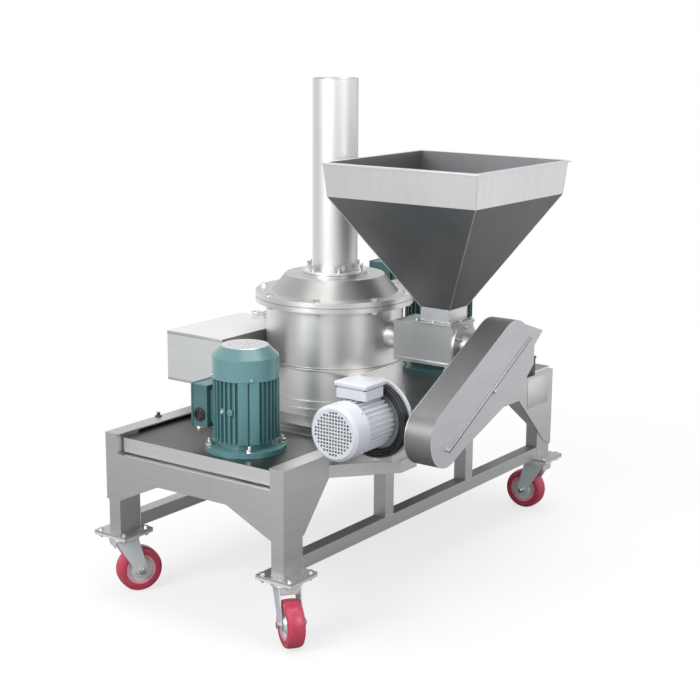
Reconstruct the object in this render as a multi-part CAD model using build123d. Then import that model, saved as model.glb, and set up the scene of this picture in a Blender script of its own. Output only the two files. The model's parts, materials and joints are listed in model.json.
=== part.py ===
import os
from math import cos, radians, sin

from build123d import *

# Spice grinding mill on a wheeled frame, in millimetres.
# X points to the feeder's side, Y away from the front motor and Z up from the floor.
# Everything is drawn about the frame's plan centre and moved to the whole machine's centre when written.

# Frame
FRAME_WIDTH = 620.0
FRAME_LENGTH = 1414.0
FRAME_TOP = 470.0
APRON_THICKNESS = 4.0
APRON_BOTTOM = 406.0
APRON_FLANGE = 45.0
FRONT_GUSSET_BOTTOM = 279.0
FRONT_GUSSET_REACH = 192.0
REAR_GUSSET_BOTTOM = 217.0
REAR_GUSSET_KNEE = 237.0
REAR_GUSSET_REACH = 218.0
BEAM_BOTTOM = 346.0
BEAM_TOP = 412.0
BEAM_FLANGE = 60.0
BEAM_GUSSET_START = 120.0
LEG_WIDTH = 40.0
LEG_DEPTH = 80.0
LEG_WALL = 3.0
LEG_FOOT = 185.0
RAIL_TOP = 222.0
POST_SIZE = 40.0
POST_PLACES = (-225.0, 200.0)
FOOT_PLATE_X = 115.0
FOOT_PLATE_Y = 112.0
FOOT_PLATE_THICKNESS = 6.5
FOOT_PLATE_OVERHANG_Y = 17.0
FOOT_BOLT_INSET = 13.0
FOOT_BOLT_RADIUS = 5.0

# Deck and its supports
DECK_WIDTH = 600.0
DECK_THICKNESS = 9.0
DECK_FRONT = -360.0
DECK_END_GAP = 7.0
DECK_SPINDLE_HOLE = 75.0
CROSS_MEMBER_WIDTH = 60.0
CROSS_MEMBER_HEIGHT = 25.0

# Sliding plate of the front motor
SLIDE_PLATE_TOP = 457.0
SLIDE_PLATE_THICKNESS = 8.0
SLIDE_PLATE_SETBACK = 20.0
SLIDE_PLATE_BACK = -372.0
SLIDE_SIDE_GAP = 6.0
SLIDE_TRAVEL = 10.0
SLIDE_SHOULDER_GAP = 1.0
SLIDE_LIP_BOTTOM = 417.0
SLIDE_LIP_THICKNESS = 6.0
SLIDE_RAIL_HEIGHT = 40.0
SEAT_GAP = 0.3

# Bracket and stool under the feeder's gearbox
BRACKET_FRONT = -515.0
BRACKET_TIP_X = 436.0
BRACKET_TIP_Y = -365.0
BRACKET_BACK = -290.0
BRACKET_TOP = 440.0
STOOL_WIDTH = 60.0
STOOL_LENGTH = 70.0

# Grinding vessel
VESSEL_Y = -70.0
VESSEL_RADIUS = 200.0
VESSEL_WALL = 6.0
BASE_RING_RADIUS = 210.0
BASE_RING_HEIGHT = 21.0
UPPER_RING_RADIUS = 205.0
VESSEL_FLOOR = 12.0
CASING_SEAM = 614.0
CASING_TOP = 794.0
FLANGE_RADIUS = 230.0
FLANGE_THICKNESS = 15.0
LID_CONE_FOOT = 184.0
LID_CONE_HEAD = 144.0
LID_TOP = 857.0
LID_SHEET = 5.0
LID_BOLT_CIRCLE = 214.0
LID_BOLT_COUNT = 8
LID_BOLT_FIRST_ANGLE = 22.5
LID_BOLT_RADIUS = 6.0
LID_BOLT_HOLE_CLEARANCE = 0.5
LID_BOLT_HEAD_RADIUS = 10.0
LID_BOLT_HEAD_HEIGHT = 8.0
PIPE_RADIUS = 65.0
PIPE_WALL = 3.0
PIPE_TOP = 1414.0
PIPE_FLANGE_RADIUS = 93.0
PIPE_FLANGE_THICKNESS = 7.0
PIPE_COLLAR_HEIGHT = 5.0
WING_CIRCLE = 80.0
WING_COUNT = 6
WING_FIRST_ANGLE = -105.0
WING_SPAN = 30.0
WING_WASHER_RADIUS = 9.0
WING_WASHER_HEIGHT = 2.0
WING_BOSS_RADIUS = 6.0
WING_BOSS_HEIGHT = 8.0
WING_HEIGHT = 10.0
WING_ROOT = 4.0
WING_THICKNESS = 3.0
WING_NOTCH = 10.0
STUD_RADIUS = 4.0
STUD_HEIGHT = 7.0
LINER_THICKNESS = 11.0
LINER_GAP = 0.2
LINER_BOTTOM = 560.0
LINER_TEETH = 36
LINER_TOOTH_DEPTH = 4.0
LINER_TOOTH_GAP = 8.0
LINER_TOP_GAP = 2.0

# Air duct on the vessel's left and side chamber on its right
DUCT_LEFT = -375.0
DUCT_RIGHT = -165.0
DUCT_FRONT = -380.0
DUCT_BACK = -40.0
DUCT_BOTTOM = 545.0
DUCT_TOP = 690.0
DUCT_WALL = 3.0
DUCT_MOUTH_MARGIN = 20.0
DUCT_MOUTH_LENGTH = 140.0
DUCT_WINDOW_BOTTOM = 645.0
BOX_FRONT = -250.0
BOX_BOTTOM = 500.0
BOX_TOP = 611.0
BOX_WINDOW_FRONT = -170.0
BOX_WINDOW_BACK = -90.0
BOX_WINDOW_LEFT = 150.0
NOZZLE_RADIUS = 7.0
NOZZLE_WALL = 2.0
NOZZLE_REACH = 308.0
NOZZLE_Z = 703.0

# Spindle, rotor and classifier
RUNNING_FIT = 0.05
SEAT_FIT = 0.02
HOUSING_RADIUS = 70.0
HOUSING_FLANGE_RADIUS = 110.0
HOUSING_FLANGE_THICKNESS = 12.0
HOUSING_BOTTOM = 446.0
HOUSING_TOP = 556.0
HOUSING_HOLE_CLEARANCE = 0.5
BEARING_OUTER_RADIUS = 45.0
BEARING_WIDTH = 20.0
ROTOR_SHAFT_RADIUS = 25.0
ROTOR_BORE_RADIUS = 18.0
ROTOR_SHAFT_BOTTOM = 404.0
ROTOR_DISC_BOTTOM = 572.0
ROTOR_DISC_THICKNESS = 14.0
ROTOR_DISC_RADIUS = 165.0
ROTOR_HUB_RADIUS = 45.0
ROTOR_HUB_HEIGHT = 20.0
HAMMER_COUNT = 12
HAMMER_CIRCLE = 158.0
HAMMER_RADIAL = 28.0
HAMMER_WIDTH = 25.0
HAMMER_HEIGHT = 40.0
CLASSIFIER_SHAFT_RADIUS = 12.0
SHAFT_PASSAGE = 2.0
WHEEL_BOTTOM = 700.0
WHEEL_HEIGHT = 92.0
WHEEL_RADIUS = 100.0
WHEEL_PLATE = 6.0
BLADE_COUNT = 24
BLADE_DEPTH = 22.0
BLADE_THICKNESS = 3.0
BLADE_RIM_INSET = 1.0

# Belt drives under the deck
ROTOR_BELT_Z = 423.0
CLASSIFIER_BELT_Z = 383.0
PULLEY_WIDTH = 30.0
PULLEY_RIM_HEIGHT = 5.0
PULLEY_RIM_WIDTH = 3.0
BELT_THICKNESS = 8.0
BELT_GAP = 0.3
ROTOR_PULLEY_RADIUS = 65.0
ROTOR_MOTOR_PULLEY_RADIUS = 100.0
CLASSIFIER_PULLEY_RADIUS = 60.0
CLASSIFIER_MOTOR_PULLEY_RADIUS = 50.0
SHAFT_END_MARGIN = 4.0

# Front motor, which drives the classifier
FRONT_MOTOR_X = 68.0
FRONT_MOTOR_SETBACK = 146.0
FRONT_MOTOR_FLANGE_RADIUS = 109.0
FRONT_MOTOR_FLANGE_THICKNESS = 14.0
FRONT_MOTOR_NECK_RADIUS = 70.0
FRONT_MOTOR_BODY_BOTTOM = 488.0
FRONT_MOTOR_BODY_TOP = 655.0
FRONT_MOTOR_CORE_RADIUS = 78.0
FRONT_MOTOR_COVER_RADIUS = 89.0
FRONT_MOTOR_COVER_SHOULDER = 713.0
FRONT_MOTOR_COVER_TOP = 740.0
FRONT_MOTOR_GRILLE_RADIUS = 62.0
FRONT_MOTOR_SHAFT_RADIUS = 12.0
FRONT_BOX_INNER_REACH = 94.0
FRONT_BOX_REACH = 142.0
FRONT_BOX_WIDTH = 96.0
FRONT_BOX_BOTTOM = 506.0
FRONT_BOX_TOP = 622.0

# Rear motor, which drives the rotor
REAR_MOTOR_X = 20.0
REAR_MOTOR_Y = 465.0
REAR_MOTOR_FLANGE_RADIUS = 125.0
REAR_MOTOR_FLANGE_THICKNESS = 14.0
REAR_MOTOR_NECK_RADIUS = 90.0
REAR_MOTOR_BODY_BOTTOM = 512.0
REAR_MOTOR_BODY_TOP = 815.0
REAR_MOTOR_CORE_RADIUS = 97.0
REAR_MOTOR_COVER_RADIUS = 110.0
REAR_MOTOR_COVER_SHOULDER = 885.0
REAR_MOTOR_COVER_TOP = 912.0
REAR_MOTOR_GRILLE_RADIUS = 80.0
REAR_MOTOR_SHAFT_RADIUS = 19.0
REAR_BOX_INNER_REACH = 150.0
REAR_BOX_REACH = 222.0
REAR_BOX_WIDTH = 120.0
REAR_BOX_BOTTOM = 700.0
REAR_BOX_TOP = 810.0

# What all motors share
FIN_COUNT = 36
FIN_THICKNESS = 3.0
ARMATURE_SHARE = 0.6
COVER_SHEET = 2.0
STATOR_GAP = 0.6
END_SHIELD = 12.0
GRILLE_HOLE_RADIUS = 3.2
GRILLE_PITCH = 14.0
SQUARE_HOLE = 5.6
SQUARE_PITCH = 9.0
FAN_BLADES = 8
FAN_BLADE_THICKNESS = 3.0
FAN_HUB_WALL = 8.0
FAN_TIP_GAP = 20.0
FAN_FOOT_GAP = 14.0
FAN_TOP_GAP = 34.0
BOX_NECK_INSET = 14.0
GLAND_RADIUS = 9.0
GLAND_LENGTH = 16.0

# Screw feeder and hopper
SCREW_Z = 700.0
SCREW_SHAFT_RADIUS = 10.0
SCREW_FLIGHT_RADIUS = 31.0
SCREW_FLIGHT_THICKNESS = 4.0
SCREW_PITCH = 45.0
SCREW_CLEARANCE = 1.5
SCREW_END_GAP = 8.0
SCREW_FLIGHT_ROOT = 1.0
SCREW_TIP_X = 150.0
SCREW_FLIGHT_START_X = 158.0
COLLAR_RADIUS = 38.0
FEEDER_LEFT = 245.0
FEEDER_RIGHT = 438.0
FEEDER_HALF_WIDTH = 55.0
FEEDER_BOTTOM = 645.0
FEEDER_TOP = 757.0
FEEDER_END_WALL = 6.0
HOPPER_X = 375.0
HOPPER_FLANGE_HALF = 62.0
HOPPER_FLANGE_THICKNESS = 4.0
HOPPER_NECK_HALF = 46.0
HOPPER_CONE_FOOT = 802.0
HOPPER_SKIRT_FOOT = 1110.0
HOPPER_RIM_Z = 1202.0
HOPPER_SKIRT_HALF = 232.0
HOPPER_RIM_HALF = 247.0
HOPPER_SHEET = 3.0
HOPPER_RIM_THICKNESS = 5.0
HOPPER_RIM_LIP = 14.0
HOPPER_RIM_OVERHANG = 6.0
END_FLANGE_RADIUS = 63.0
END_FLANGE_THICKNESS = 8.0
BEARING_TUBE_RADIUS = 38.0
BEARING_TUBE_BORE = 24.0

# Belt guard and the small belt drive inside it
GUARD_LEFT = 520.0
GUARD_RIGHT = 600.0
GUARD_SHEET = 2.5
GUARD_UPPER_RADIUS = 90.0
GUARD_LOWER_RADIUS = 78.0
GUARD_TAIL = ((88.0, 737.0), (42.0, 702.0), (42.0, 650.0), (-33.0, 590.0))
GUARD_CORNER_SHARE = 1.6
DRIVE_Y = -403.0
DRIVE_Z = 538.0
FEED_BELT_X = 560.0
FEED_PULLEY_RADIUS = 60.0
DRIVE_PULLEY_RADIUS = 38.0

# Worm gearbox and its motor
GEAR_X = 408.0
GEAR_CENTRE_DISTANCE = 30.0
GEARBOX_HALF_WIDTH = 45.0
GEARBOX_HALF_LENGTH = 30.0
GEARBOX_BOTTOM = 488.0
GEARBOX_TOP = 604.0
GEARBOX_WALL = 8.0
GEARBOX_NECK_RADIUS = 28.0
OUTPUT_SHAFT_RADIUS = 12.0
WORM_WHEEL_RADIUS = 20.0
WORM_WHEEL_WIDTH = 18.0
WORM_RADIUS = 9.5
WORM_LENGTH = 36.0
WORM_SHAFT_RADIUS = 7.0
OUTPUT_SHAFT_END_GAP = 4.0
GEAR_MOTOR_DISC_RADIUS = 108.0
GEAR_MOTOR_DISC_THICKNESS = 8.0
GEAR_MOTOR_CORE_RADIUS = 62.0
GEAR_MOTOR_BODY_FRONT = -572.0
GEAR_MOTOR_COVER_RADIUS = 73.0
GEAR_MOTOR_FACE = -632.0
GEAR_MOTOR_FACE_BEVEL = 8.0
GEAR_MOTOR_FIN_COUNT = 32
GEAR_FAN_FOOT_GAP = 12.0
GEAR_FAN_DEPTH = 22.0
GEAR_FAN_TIP_GAP = 16.0
GEAR_BOX_LEFT = 355.0
GEAR_BOX_RIGHT = 450.0
GEAR_BOX_FRONT = -552.0
GEAR_BOX_BACK = -468.0
GEAR_BOX_BOTTOM = 640.0
GEAR_BOX_TOP = 678.0
GEAR_BOX_CORNER = 8.0
COIL_INNER_RADIUS = 78.0
COIL_OUTER_RADIUS = 105.0
COIL_DEPTH = 22.0
COIL_ROUNDING = 6.0

# Casters: place, swivel, wheel and where each wheel trails to
CASTER_INSET = 22.0
WHEEL_TYRE_RADIUS = 63.5
WHEEL_TYRE_WIDTH = 48.0
WHEEL_TYRE_ROUNDING = 8.0
CASTER_WHEEL_HUB_WIDTH = 52.0
CASTER_WHEEL_HUB_RADIUS = 20.0
CASTER_TRAIL = 41.0
CASTER_AXLE_RADIUS = 6.0
CASTER_PIN_RADIUS = 10.0
FORK_TOP_RADIUS = 38.0
FORK_TOP_THICKNESS = 12.0
FORK_SHEET = 4.0
FORK_SIDE_GAP = 0.5
FORK_FOOT_RADIUS = 16.0
FORK_YOKE_LENGTH = 66.0
FORK_PIN_SINK = 1.0
AXLE_OVERHANG = 3.0
CASTERS = {
    "front_left": (-1, -1, 62.0),
    "front_right": (1, -1, -36.0),
    "rear_left": (-1, 1, 144.0),
    "rear_right": (1, 1, 180.0),
}

# Values worked out from the ones above
HALF_WIDTH = FRAME_WIDTH / 2
HALF_LENGTH = FRAME_LENGTH / 2
INNER_HALF_WIDTH = HALF_WIDTH - APRON_THICKNESS
INNER_HALF_LENGTH = HALF_LENGTH - APRON_THICKNESS
LEG_INNER_X = INNER_HALF_WIDTH - LEG_WIDTH
LEG_INNER_Y = INNER_HALF_LENGTH - LEG_DEPTH
LEG_TOP = FRAME_TOP - APRON_THICKNESS
DECK_BACK = HALF_LENGTH - DECK_END_GAP
SLIDE_PLATE_FRONT = -HALF_LENGTH + SLIDE_PLATE_SETBACK
FRONT_MOTOR_Y = -HALF_LENGTH + FRONT_MOTOR_SETBACK
CASTER_X = HALF_WIDTH - CASTER_INSET
CASTER_Y = HALF_LENGTH + FOOT_PLATE_OVERHANG_Y - FOOT_PLATE_Y / 2
DECK_TOP = FRAME_TOP + DECK_THICKNESS
SLIDE_PLATE_BOTTOM = SLIDE_PLATE_TOP - SLIDE_PLATE_THICKNESS
SLIDE_RAIL_TOP = SLIDE_PLATE_BOTTOM - SEAT_GAP
VESSEL_INSIDE = VESSEL_RADIUS - VESSEL_WALL
FLOOR_TOP = DECK_TOP + VESSEL_FLOOR
LID_FLANGE_TOP = CASING_TOP + FLANGE_THICKNESS
COLLAR_TOP = LID_TOP + PIPE_COLLAR_HEIGHT
PIPE_FLANGE_TOP = COLLAR_TOP + PIPE_FLANGE_THICKNESS
PIPE_INSIDE = PIPE_RADIUS - PIPE_WALL
SCREW_BORE = SCREW_FLIGHT_RADIUS + SCREW_CLEARANCE
WORM_Z = DRIVE_Z + GEAR_CENTRE_DISTANCE
GEARBOX_FRONT = DRIVE_Y - GEARBOX_HALF_LENGTH
GEAR_DISC_FRONT = GEARBOX_FRONT - GEAR_MOTOR_DISC_THICKNESS
COIL_FRONT = GEAR_DISC_FRONT - COIL_DEPTH
CASTER_PLATE_TOP = LEG_FOOT - FOOT_PLATE_THICKNESS
CASTER_PLATE_BOTTOM = CASTER_PLATE_TOP - FOOT_PLATE_THICKNESS
FRONT_MOTOR_FIN_RADIUS = FRONT_MOTOR_COVER_RADIUS - COVER_SHEET
REAR_MOTOR_FIN_RADIUS = REAR_MOTOR_COVER_RADIUS - COVER_SHEET
GEAR_MOTOR_FIN_RADIUS = GEAR_MOTOR_COVER_RADIUS - COVER_SHEET
PLAN_CENTRE_X = (DUCT_LEFT + HOPPER_X + HOPPER_RIM_HALF) / 2

MIDDLE = Align.CENTER
START = Align.MIN


def block(x_span, y_span, z_span):
    """A box between two corners."""
    size = [span[1] - span[0] for span in (x_span, y_span, z_span)]
    return Pos(x_span[0], y_span[0], z_span[0]) * Box(*size, align=(START, START, START))


def rod_x(x_span, y, z, radius):
    length = x_span[1] - x_span[0]
    return Pos(x_span[0], y, z) * Rot(0, 90, 0) * Cylinder(radius, length, align=(MIDDLE, MIDDLE, START))


def rod_y(x, y_span, z, radius):
    length = y_span[1] - y_span[0]
    return Pos(x, y_span[0], z) * Rot(-90, 0, 0) * Cylinder(radius, length, align=(MIDDLE, MIDDLE, START))


def rod_z(x, y, z_span, radius):
    length = z_span[1] - z_span[0]
    return Pos(x, y, z_span[0]) * Cylinder(radius, length, align=(MIDDLE, MIDDLE, START))


def tube_z(x, y, z_span, outer, inner):
    return rod_z(x, y, z_span, outer) - rod_z(x, y, z_span, inner)


def plate_facing_x(outline, x_span):
    """A plate whose outline is given as Y and Z."""
    return extrude(Plane.YZ.offset(x_span[0]) * outline, amount=x_span[1] - x_span[0], dir=(1, 0, 0))


def plate_facing_y(outline, y_span):
    """A plate whose outline is given as X and Z."""
    return extrude(Plane.XZ.offset(-y_span[0]) * outline, amount=y_span[1] - y_span[0], dir=(0, 1, 0))


def plate_facing_z(outline, z_span):
    return extrude(Plane.XY.offset(z_span[0]) * outline, amount=z_span[1] - z_span[0], dir=(0, 0, 1))


def around(count, radius, first_angle=0.0):
    """Places on a circle, each turned to face outwards."""
    step = 360.0 / count
    return [Rot(0, 0, first_angle + i * step) * Pos(radius, 0, 0) for i in range(count)]


def at_vessel(part):
    return Pos(0, VESSEL_Y, 0) * part


def strap(centre_a, radius_a, centre_b, radius_b):
    """Outline of a belt or guard stretched round two circles."""
    circles = Pos(*centre_a) * Circle(radius_a) + Pos(*centre_b) * Circle(radius_b)
    return make_hull(circles.edges())


# Frame


def side_apron(side):
    """Folded side sheet with a gusset at each leg; side is -1 for left and 1 for right."""
    rear_knee = INNER_HALF_LENGTH - LEG_WIDTH
    outline = Polygon(
        (-HALF_LENGTH, FRAME_TOP),
        (-HALF_LENGTH, FRONT_GUSSET_BOTTOM),
        (-LEG_INNER_Y, FRONT_GUSSET_BOTTOM),
        (-HALF_LENGTH + FRONT_GUSSET_REACH, APRON_BOTTOM),
        (HALF_LENGTH - REAR_GUSSET_REACH, APRON_BOTTOM),
        (rear_knee, REAR_GUSSET_KNEE),
        (HALF_LENGTH, REAR_GUSSET_BOTTOM),
        (HALF_LENGTH, FRAME_TOP),
        align=None,
    )
    web = plate_facing_x(outline, (INNER_HALF_WIDTH, HALF_WIDTH))
    flange = block(
        (INNER_HALF_WIDTH - APRON_FLANGE, INNER_HALF_WIDTH),
        (-INNER_HALF_LENGTH, INNER_HALF_LENGTH),
        (LEG_TOP, FRAME_TOP),
    )
    apron = web + flange
    return apron if side > 0 else apron.mirror(Plane.YZ)


def end_outline(gusset_bottom, cut_out):
    """Outline of an end apron, right half first, with the opening for the sliding plate."""
    right = [
        (INNER_HALF_WIDTH, FRAME_TOP),
        (INNER_HALF_WIDTH, gusset_bottom),
        (LEG_INNER_X, gusset_bottom),
        (BEAM_GUSSET_START, BEAM_BOTTOM),
    ]
    left = [(-x, z) for x, z in reversed(right)]
    notch = []
    if cut_out:
        notch = [
            (-LEG_INNER_X, FRAME_TOP),
            (-LEG_INNER_X, BEAM_TOP),
            (LEG_INNER_X, BEAM_TOP),
            (LEG_INNER_X, FRAME_TOP),
        ]
    return Polygon(*right, *left, *notch, align=None)


def front_apron():
    sheet = plate_facing_y(end_outline(FRONT_GUSSET_BOTTOM, True), (-HALF_LENGTH, -INNER_HALF_LENGTH))
    flange = block(
        (-LEG_INNER_X, LEG_INNER_X),
        (-INNER_HALF_LENGTH, -INNER_HALF_LENGTH + BEAM_FLANGE),
        (BEAM_TOP - APRON_THICKNESS, BEAM_TOP),
    )
    return sheet + flange


def rear_apron():
    return plate_facing_y(end_outline(REAR_GUSSET_KNEE, False), (INNER_HALF_LENGTH, HALF_LENGTH))


def foot_plate(side_x, side_y, z_span):
    """A caster-sized plate with four bolt holes at one corner of the frame."""
    centre_y = side_y * CASTER_Y
    plate = plate_facing_z(Rectangle(FOOT_PLATE_X, FOOT_PLATE_Y), z_span)
    plate = Pos(side_x * CASTER_X, centre_y, 0) * plate
    spacing_x = FOOT_PLATE_X - 2 * FOOT_BOLT_INSET
    spacing_y = FOOT_PLATE_Y - 2 * FOOT_BOLT_INSET
    for place in GridLocations(spacing_x, spacing_y, 2, 2):
        hole = place.position + Vector(side_x * CASTER_X, centre_y, 0)
        plate -= rod_z(hole.X, hole.Y, z_span, FOOT_BOLT_RADIUS)
    return plate


def hollow_section(size_x, size_y):
    """Cross-section of a rectangular tube."""
    return Rectangle(size_x, size_y) - Rectangle(size_x - 2 * LEG_WALL, size_y - 2 * LEG_WALL)


def legs():
    """Four rectangular tubes, each on its foot plate."""
    solids = []
    for side_x, side_y, _ in CASTERS.values():
        centre_x = side_x * (LEG_INNER_X + LEG_WIDTH / 2)
        centre_y = side_y * (LEG_INNER_Y + LEG_DEPTH / 2)
        tube = plate_facing_z(hollow_section(LEG_WIDTH, LEG_DEPTH), (LEG_FOOT, LEG_TOP))
        tube = Pos(centre_x, centre_y, 0) * tube
        solids.append(tube + foot_plate(side_x, side_y, (CASTER_PLATE_TOP, LEG_FOOT)))
    return solids


def lower_rails():
    """A long tube low on each side, with two posts up to the apron."""
    rail_height = RAIL_TOP - LEG_FOOT
    tube = plate_facing_y(hollow_section(LEG_WIDTH, rail_height), (-LEG_INNER_Y, LEG_INNER_Y))
    post = plate_facing_z(hollow_section(POST_SIZE, POST_SIZE), (RAIL_TOP, LEG_TOP))
    solids = []
    for side in (-1, 1):
        centre_x = side * (LEG_INNER_X + LEG_WIDTH / 2)
        rail = Pos(centre_x, 0, LEG_FOOT + rail_height / 2) * tube
        for post_y in POST_PLACES:
            rail += Pos(centre_x, post_y, 0) * post
        solids.append(rail)
    return solids


def mill_deck():
    plate = block((-DECK_WIDTH / 2, DECK_WIDTH / 2), (DECK_FRONT, DECK_BACK), (FRAME_TOP, DECK_TOP))
    plate -= rod_z(0, VESSEL_Y, (FRAME_TOP, DECK_TOP), DECK_SPINDLE_HOLE)
    shaft_hole = REAR_MOTOR_SHAFT_RADIUS + SHAFT_PASSAGE
    return plate - rod_z(REAR_MOTOR_X, REAR_MOTOR_Y, (FRAME_TOP, DECK_TOP), shaft_hole)


def deck_supports():
    """Two cross tubes under the deck and the two rails that carry the sliding plate."""
    half_width = INNER_HALF_WIDTH - APRON_FLANGE
    tube = hollow_section(CROSS_MEMBER_WIDTH, CROSS_MEMBER_HEIGHT)
    solids = []
    for post_y in POST_PLACES:
        place = Pos(0, post_y, FRAME_TOP - CROSS_MEMBER_HEIGHT / 2)
        solids.append(place * plate_facing_x(tube, (-half_width, half_width)))
    rail = hollow_section(LEG_WIDTH, SLIDE_RAIL_HEIGHT)
    rail_back = POST_PLACES[0] - POST_SIZE / 2
    for side in (-1, 1):
        place = Pos(side * (LEG_INNER_X + LEG_WIDTH / 2), 0, SLIDE_RAIL_TOP - SLIDE_RAIL_HEIGHT / 2)
        solids.append(place * plate_facing_y(rail, (-LEG_INNER_Y, rail_back)))
    return solids


def motor_slide_plate():
    """Plate under the front motor: narrow between the legs, wider on the slide rails behind them."""
    narrow = LEG_INNER_X - SLIDE_SIDE_GAP
    wide = INNER_HALF_WIDTH - SLIDE_SIDE_GAP
    shoulder = -LEG_INNER_Y + SLIDE_TRAVEL + SLIDE_SHOULDER_GAP
    heights = (SLIDE_PLATE_BOTTOM, SLIDE_PLATE_TOP)
    plate = block((-narrow, narrow), (SLIDE_PLATE_FRONT, shoulder), heights)
    plate += block((-wide, wide), (shoulder, SLIDE_PLATE_BACK), heights)
    plate += block(
        (-narrow, narrow),
        (SLIDE_PLATE_FRONT, SLIDE_PLATE_FRONT + SLIDE_LIP_THICKNESS),
        (SLIDE_LIP_BOTTOM, SLIDE_PLATE_BOTTOM),
    )
    return plate - rod_z(FRONT_MOTOR_X, FRONT_MOTOR_Y, heights, FRONT_MOTOR_SHAFT_RADIUS + SHAFT_PASSAGE)


def drive_bracket():
    """Folded shelf on the right apron with a stool that carries the gearbox."""
    outline = Polygon(
        (HALF_WIDTH, BRACKET_FRONT),
        (BRACKET_TIP_X, BRACKET_TIP_Y),
        (BRACKET_TIP_X, BRACKET_BACK),
        (HALF_WIDTH, BRACKET_BACK),
        align=None,
    )
    inner = offset(outline, amount=-APRON_THICKNESS, kind=Kind.INTERSECTION)
    shelf = plate_facing_z(outline, (APRON_BOTTOM, BRACKET_TOP))
    shelf -= plate_facing_z(inner, (APRON_BOTTOM, BRACKET_TOP - APRON_THICKNESS))
    stool_right = BRACKET_TIP_X - APRON_THICKNESS
    stool_back = GEARBOX_FRONT + GEARBOX_HALF_LENGTH + STOOL_LENGTH
    stool = block(
        (stool_right - STOOL_WIDTH, stool_right),
        (stool_back - STOOL_LENGTH, stool_back),
        (BRACKET_TOP, GEARBOX_BOTTOM),
    )
    return shelf + stool


# Grinding vessel


def lower_casing():
    """Round pan with two base rings and a sheet chamber on its right, open in front and into the pan."""
    shell = rod_z(0, 0, (DECK_TOP, CASING_SEAM), VESSEL_RADIUS)
    shell += rod_z(0, 0, (DECK_TOP, DECK_TOP + BASE_RING_HEIGHT), BASE_RING_RADIUS)
    shell += rod_z(0, 0, (DECK_TOP + BASE_RING_HEIGHT, DECK_TOP + 2 * BASE_RING_HEIGHT), UPPER_RING_RADIUS)
    box_y = (BOX_FRONT - VESSEL_Y, 0)
    box_inside = (BOX_BOTTOM + DUCT_WALL, BOX_TOP - DUCT_WALL)
    chamber = block((0, VESSEL_RADIUS), box_y, (BOX_BOTTOM, BOX_TOP))
    shell += chamber - block((0, VESSEL_RADIUS - DUCT_WALL), box_y, box_inside)
    shell -= rod_z(0, 0, (FLOOR_TOP, CASING_SEAM), VESSEL_INSIDE)
    shell -= rod_z(0, 0, (DECK_TOP, FLOOR_TOP), HOUSING_RADIUS + HOUSING_HOLE_CLEARANCE)
    window_y = (BOX_WINDOW_FRONT - VESSEL_Y, BOX_WINDOW_BACK - VESSEL_Y)
    shell -= block((BOX_WINDOW_LEFT, VESSEL_RADIUS - DUCT_WALL), window_y, box_inside)
    return at_vessel(shell)


def upper_casing():
    """Round shell with the top flange, the feed collar, the air window and the small side nozzle."""
    shell = rod_z(0, 0, (CASING_SEAM, CASING_TOP), VESSEL_RADIUS)
    shell += rod_z(0, 0, (CASING_TOP - FLANGE_THICKNESS, CASING_TOP), FLANGE_RADIUS)
    shell += rod_x((VESSEL_INSIDE - FLANGE_THICKNESS, FEEDER_LEFT), 0, SCREW_Z, COLLAR_RADIUS)
    shell += rod_x((-NOZZLE_REACH, -VESSEL_INSIDE), 0, NOZZLE_Z, NOZZLE_RADIUS)
    shell -= rod_z(0, 0, (CASING_SEAM, CASING_TOP), VESSEL_INSIDE)
    shell -= rod_x((0, FEEDER_LEFT), 0, SCREW_Z, SCREW_BORE)
    shell -= rod_x((-NOZZLE_REACH, 0), 0, NOZZLE_Z, NOZZLE_RADIUS - NOZZLE_WALL)
    shell -= block(
        (DUCT_LEFT + DUCT_WALL, DUCT_RIGHT - DUCT_WALL),
        (DUCT_FRONT - VESSEL_Y, 0),
        (DUCT_WINDOW_BOTTOM, DUCT_TOP - DUCT_WALL),
    )
    hole = LID_BOLT_RADIUS + LID_BOLT_HOLE_CLEARANCE
    for place in around(LID_BOLT_COUNT, LID_BOLT_CIRCLE, LID_BOLT_FIRST_ANGLE):
        shell -= place * rod_z(0, 0, (CASING_TOP - FLANGE_THICKNESS, CASING_TOP), hole)
    return at_vessel(shell)


def mill_lid():
    """Flanged cone with a flat top and a collar for the outlet pipe."""
    section = Polygon(
        (VESSEL_INSIDE, CASING_TOP),
        (FLANGE_RADIUS, CASING_TOP),
        (FLANGE_RADIUS, LID_FLANGE_TOP),
        (LID_CONE_FOOT, LID_FLANGE_TOP),
        (LID_CONE_HEAD, LID_TOP),
        (PIPE_FLANGE_RADIUS, LID_TOP),
        (PIPE_FLANGE_RADIUS, COLLAR_TOP),
        (PIPE_INSIDE, COLLAR_TOP),
        (PIPE_INSIDE, LID_TOP - LID_SHEET),
        (LID_CONE_HEAD - LID_SHEET, LID_TOP - LID_SHEET),
        (LID_CONE_FOOT - LID_SHEET, LID_FLANGE_TOP - LID_SHEET),
        (VESSEL_INSIDE, LID_FLANGE_TOP - LID_SHEET),
        align=None,
    )
    lid = revolve(Plane.XZ * section, Axis.Z)
    hole = LID_BOLT_RADIUS + LID_BOLT_HOLE_CLEARANCE
    for place in around(LID_BOLT_COUNT, LID_BOLT_CIRCLE, LID_BOLT_FIRST_ANGLE):
        lid -= place * rod_z(0, 0, (CASING_TOP, LID_FLANGE_TOP), hole)
    return at_vessel(lid)


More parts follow.
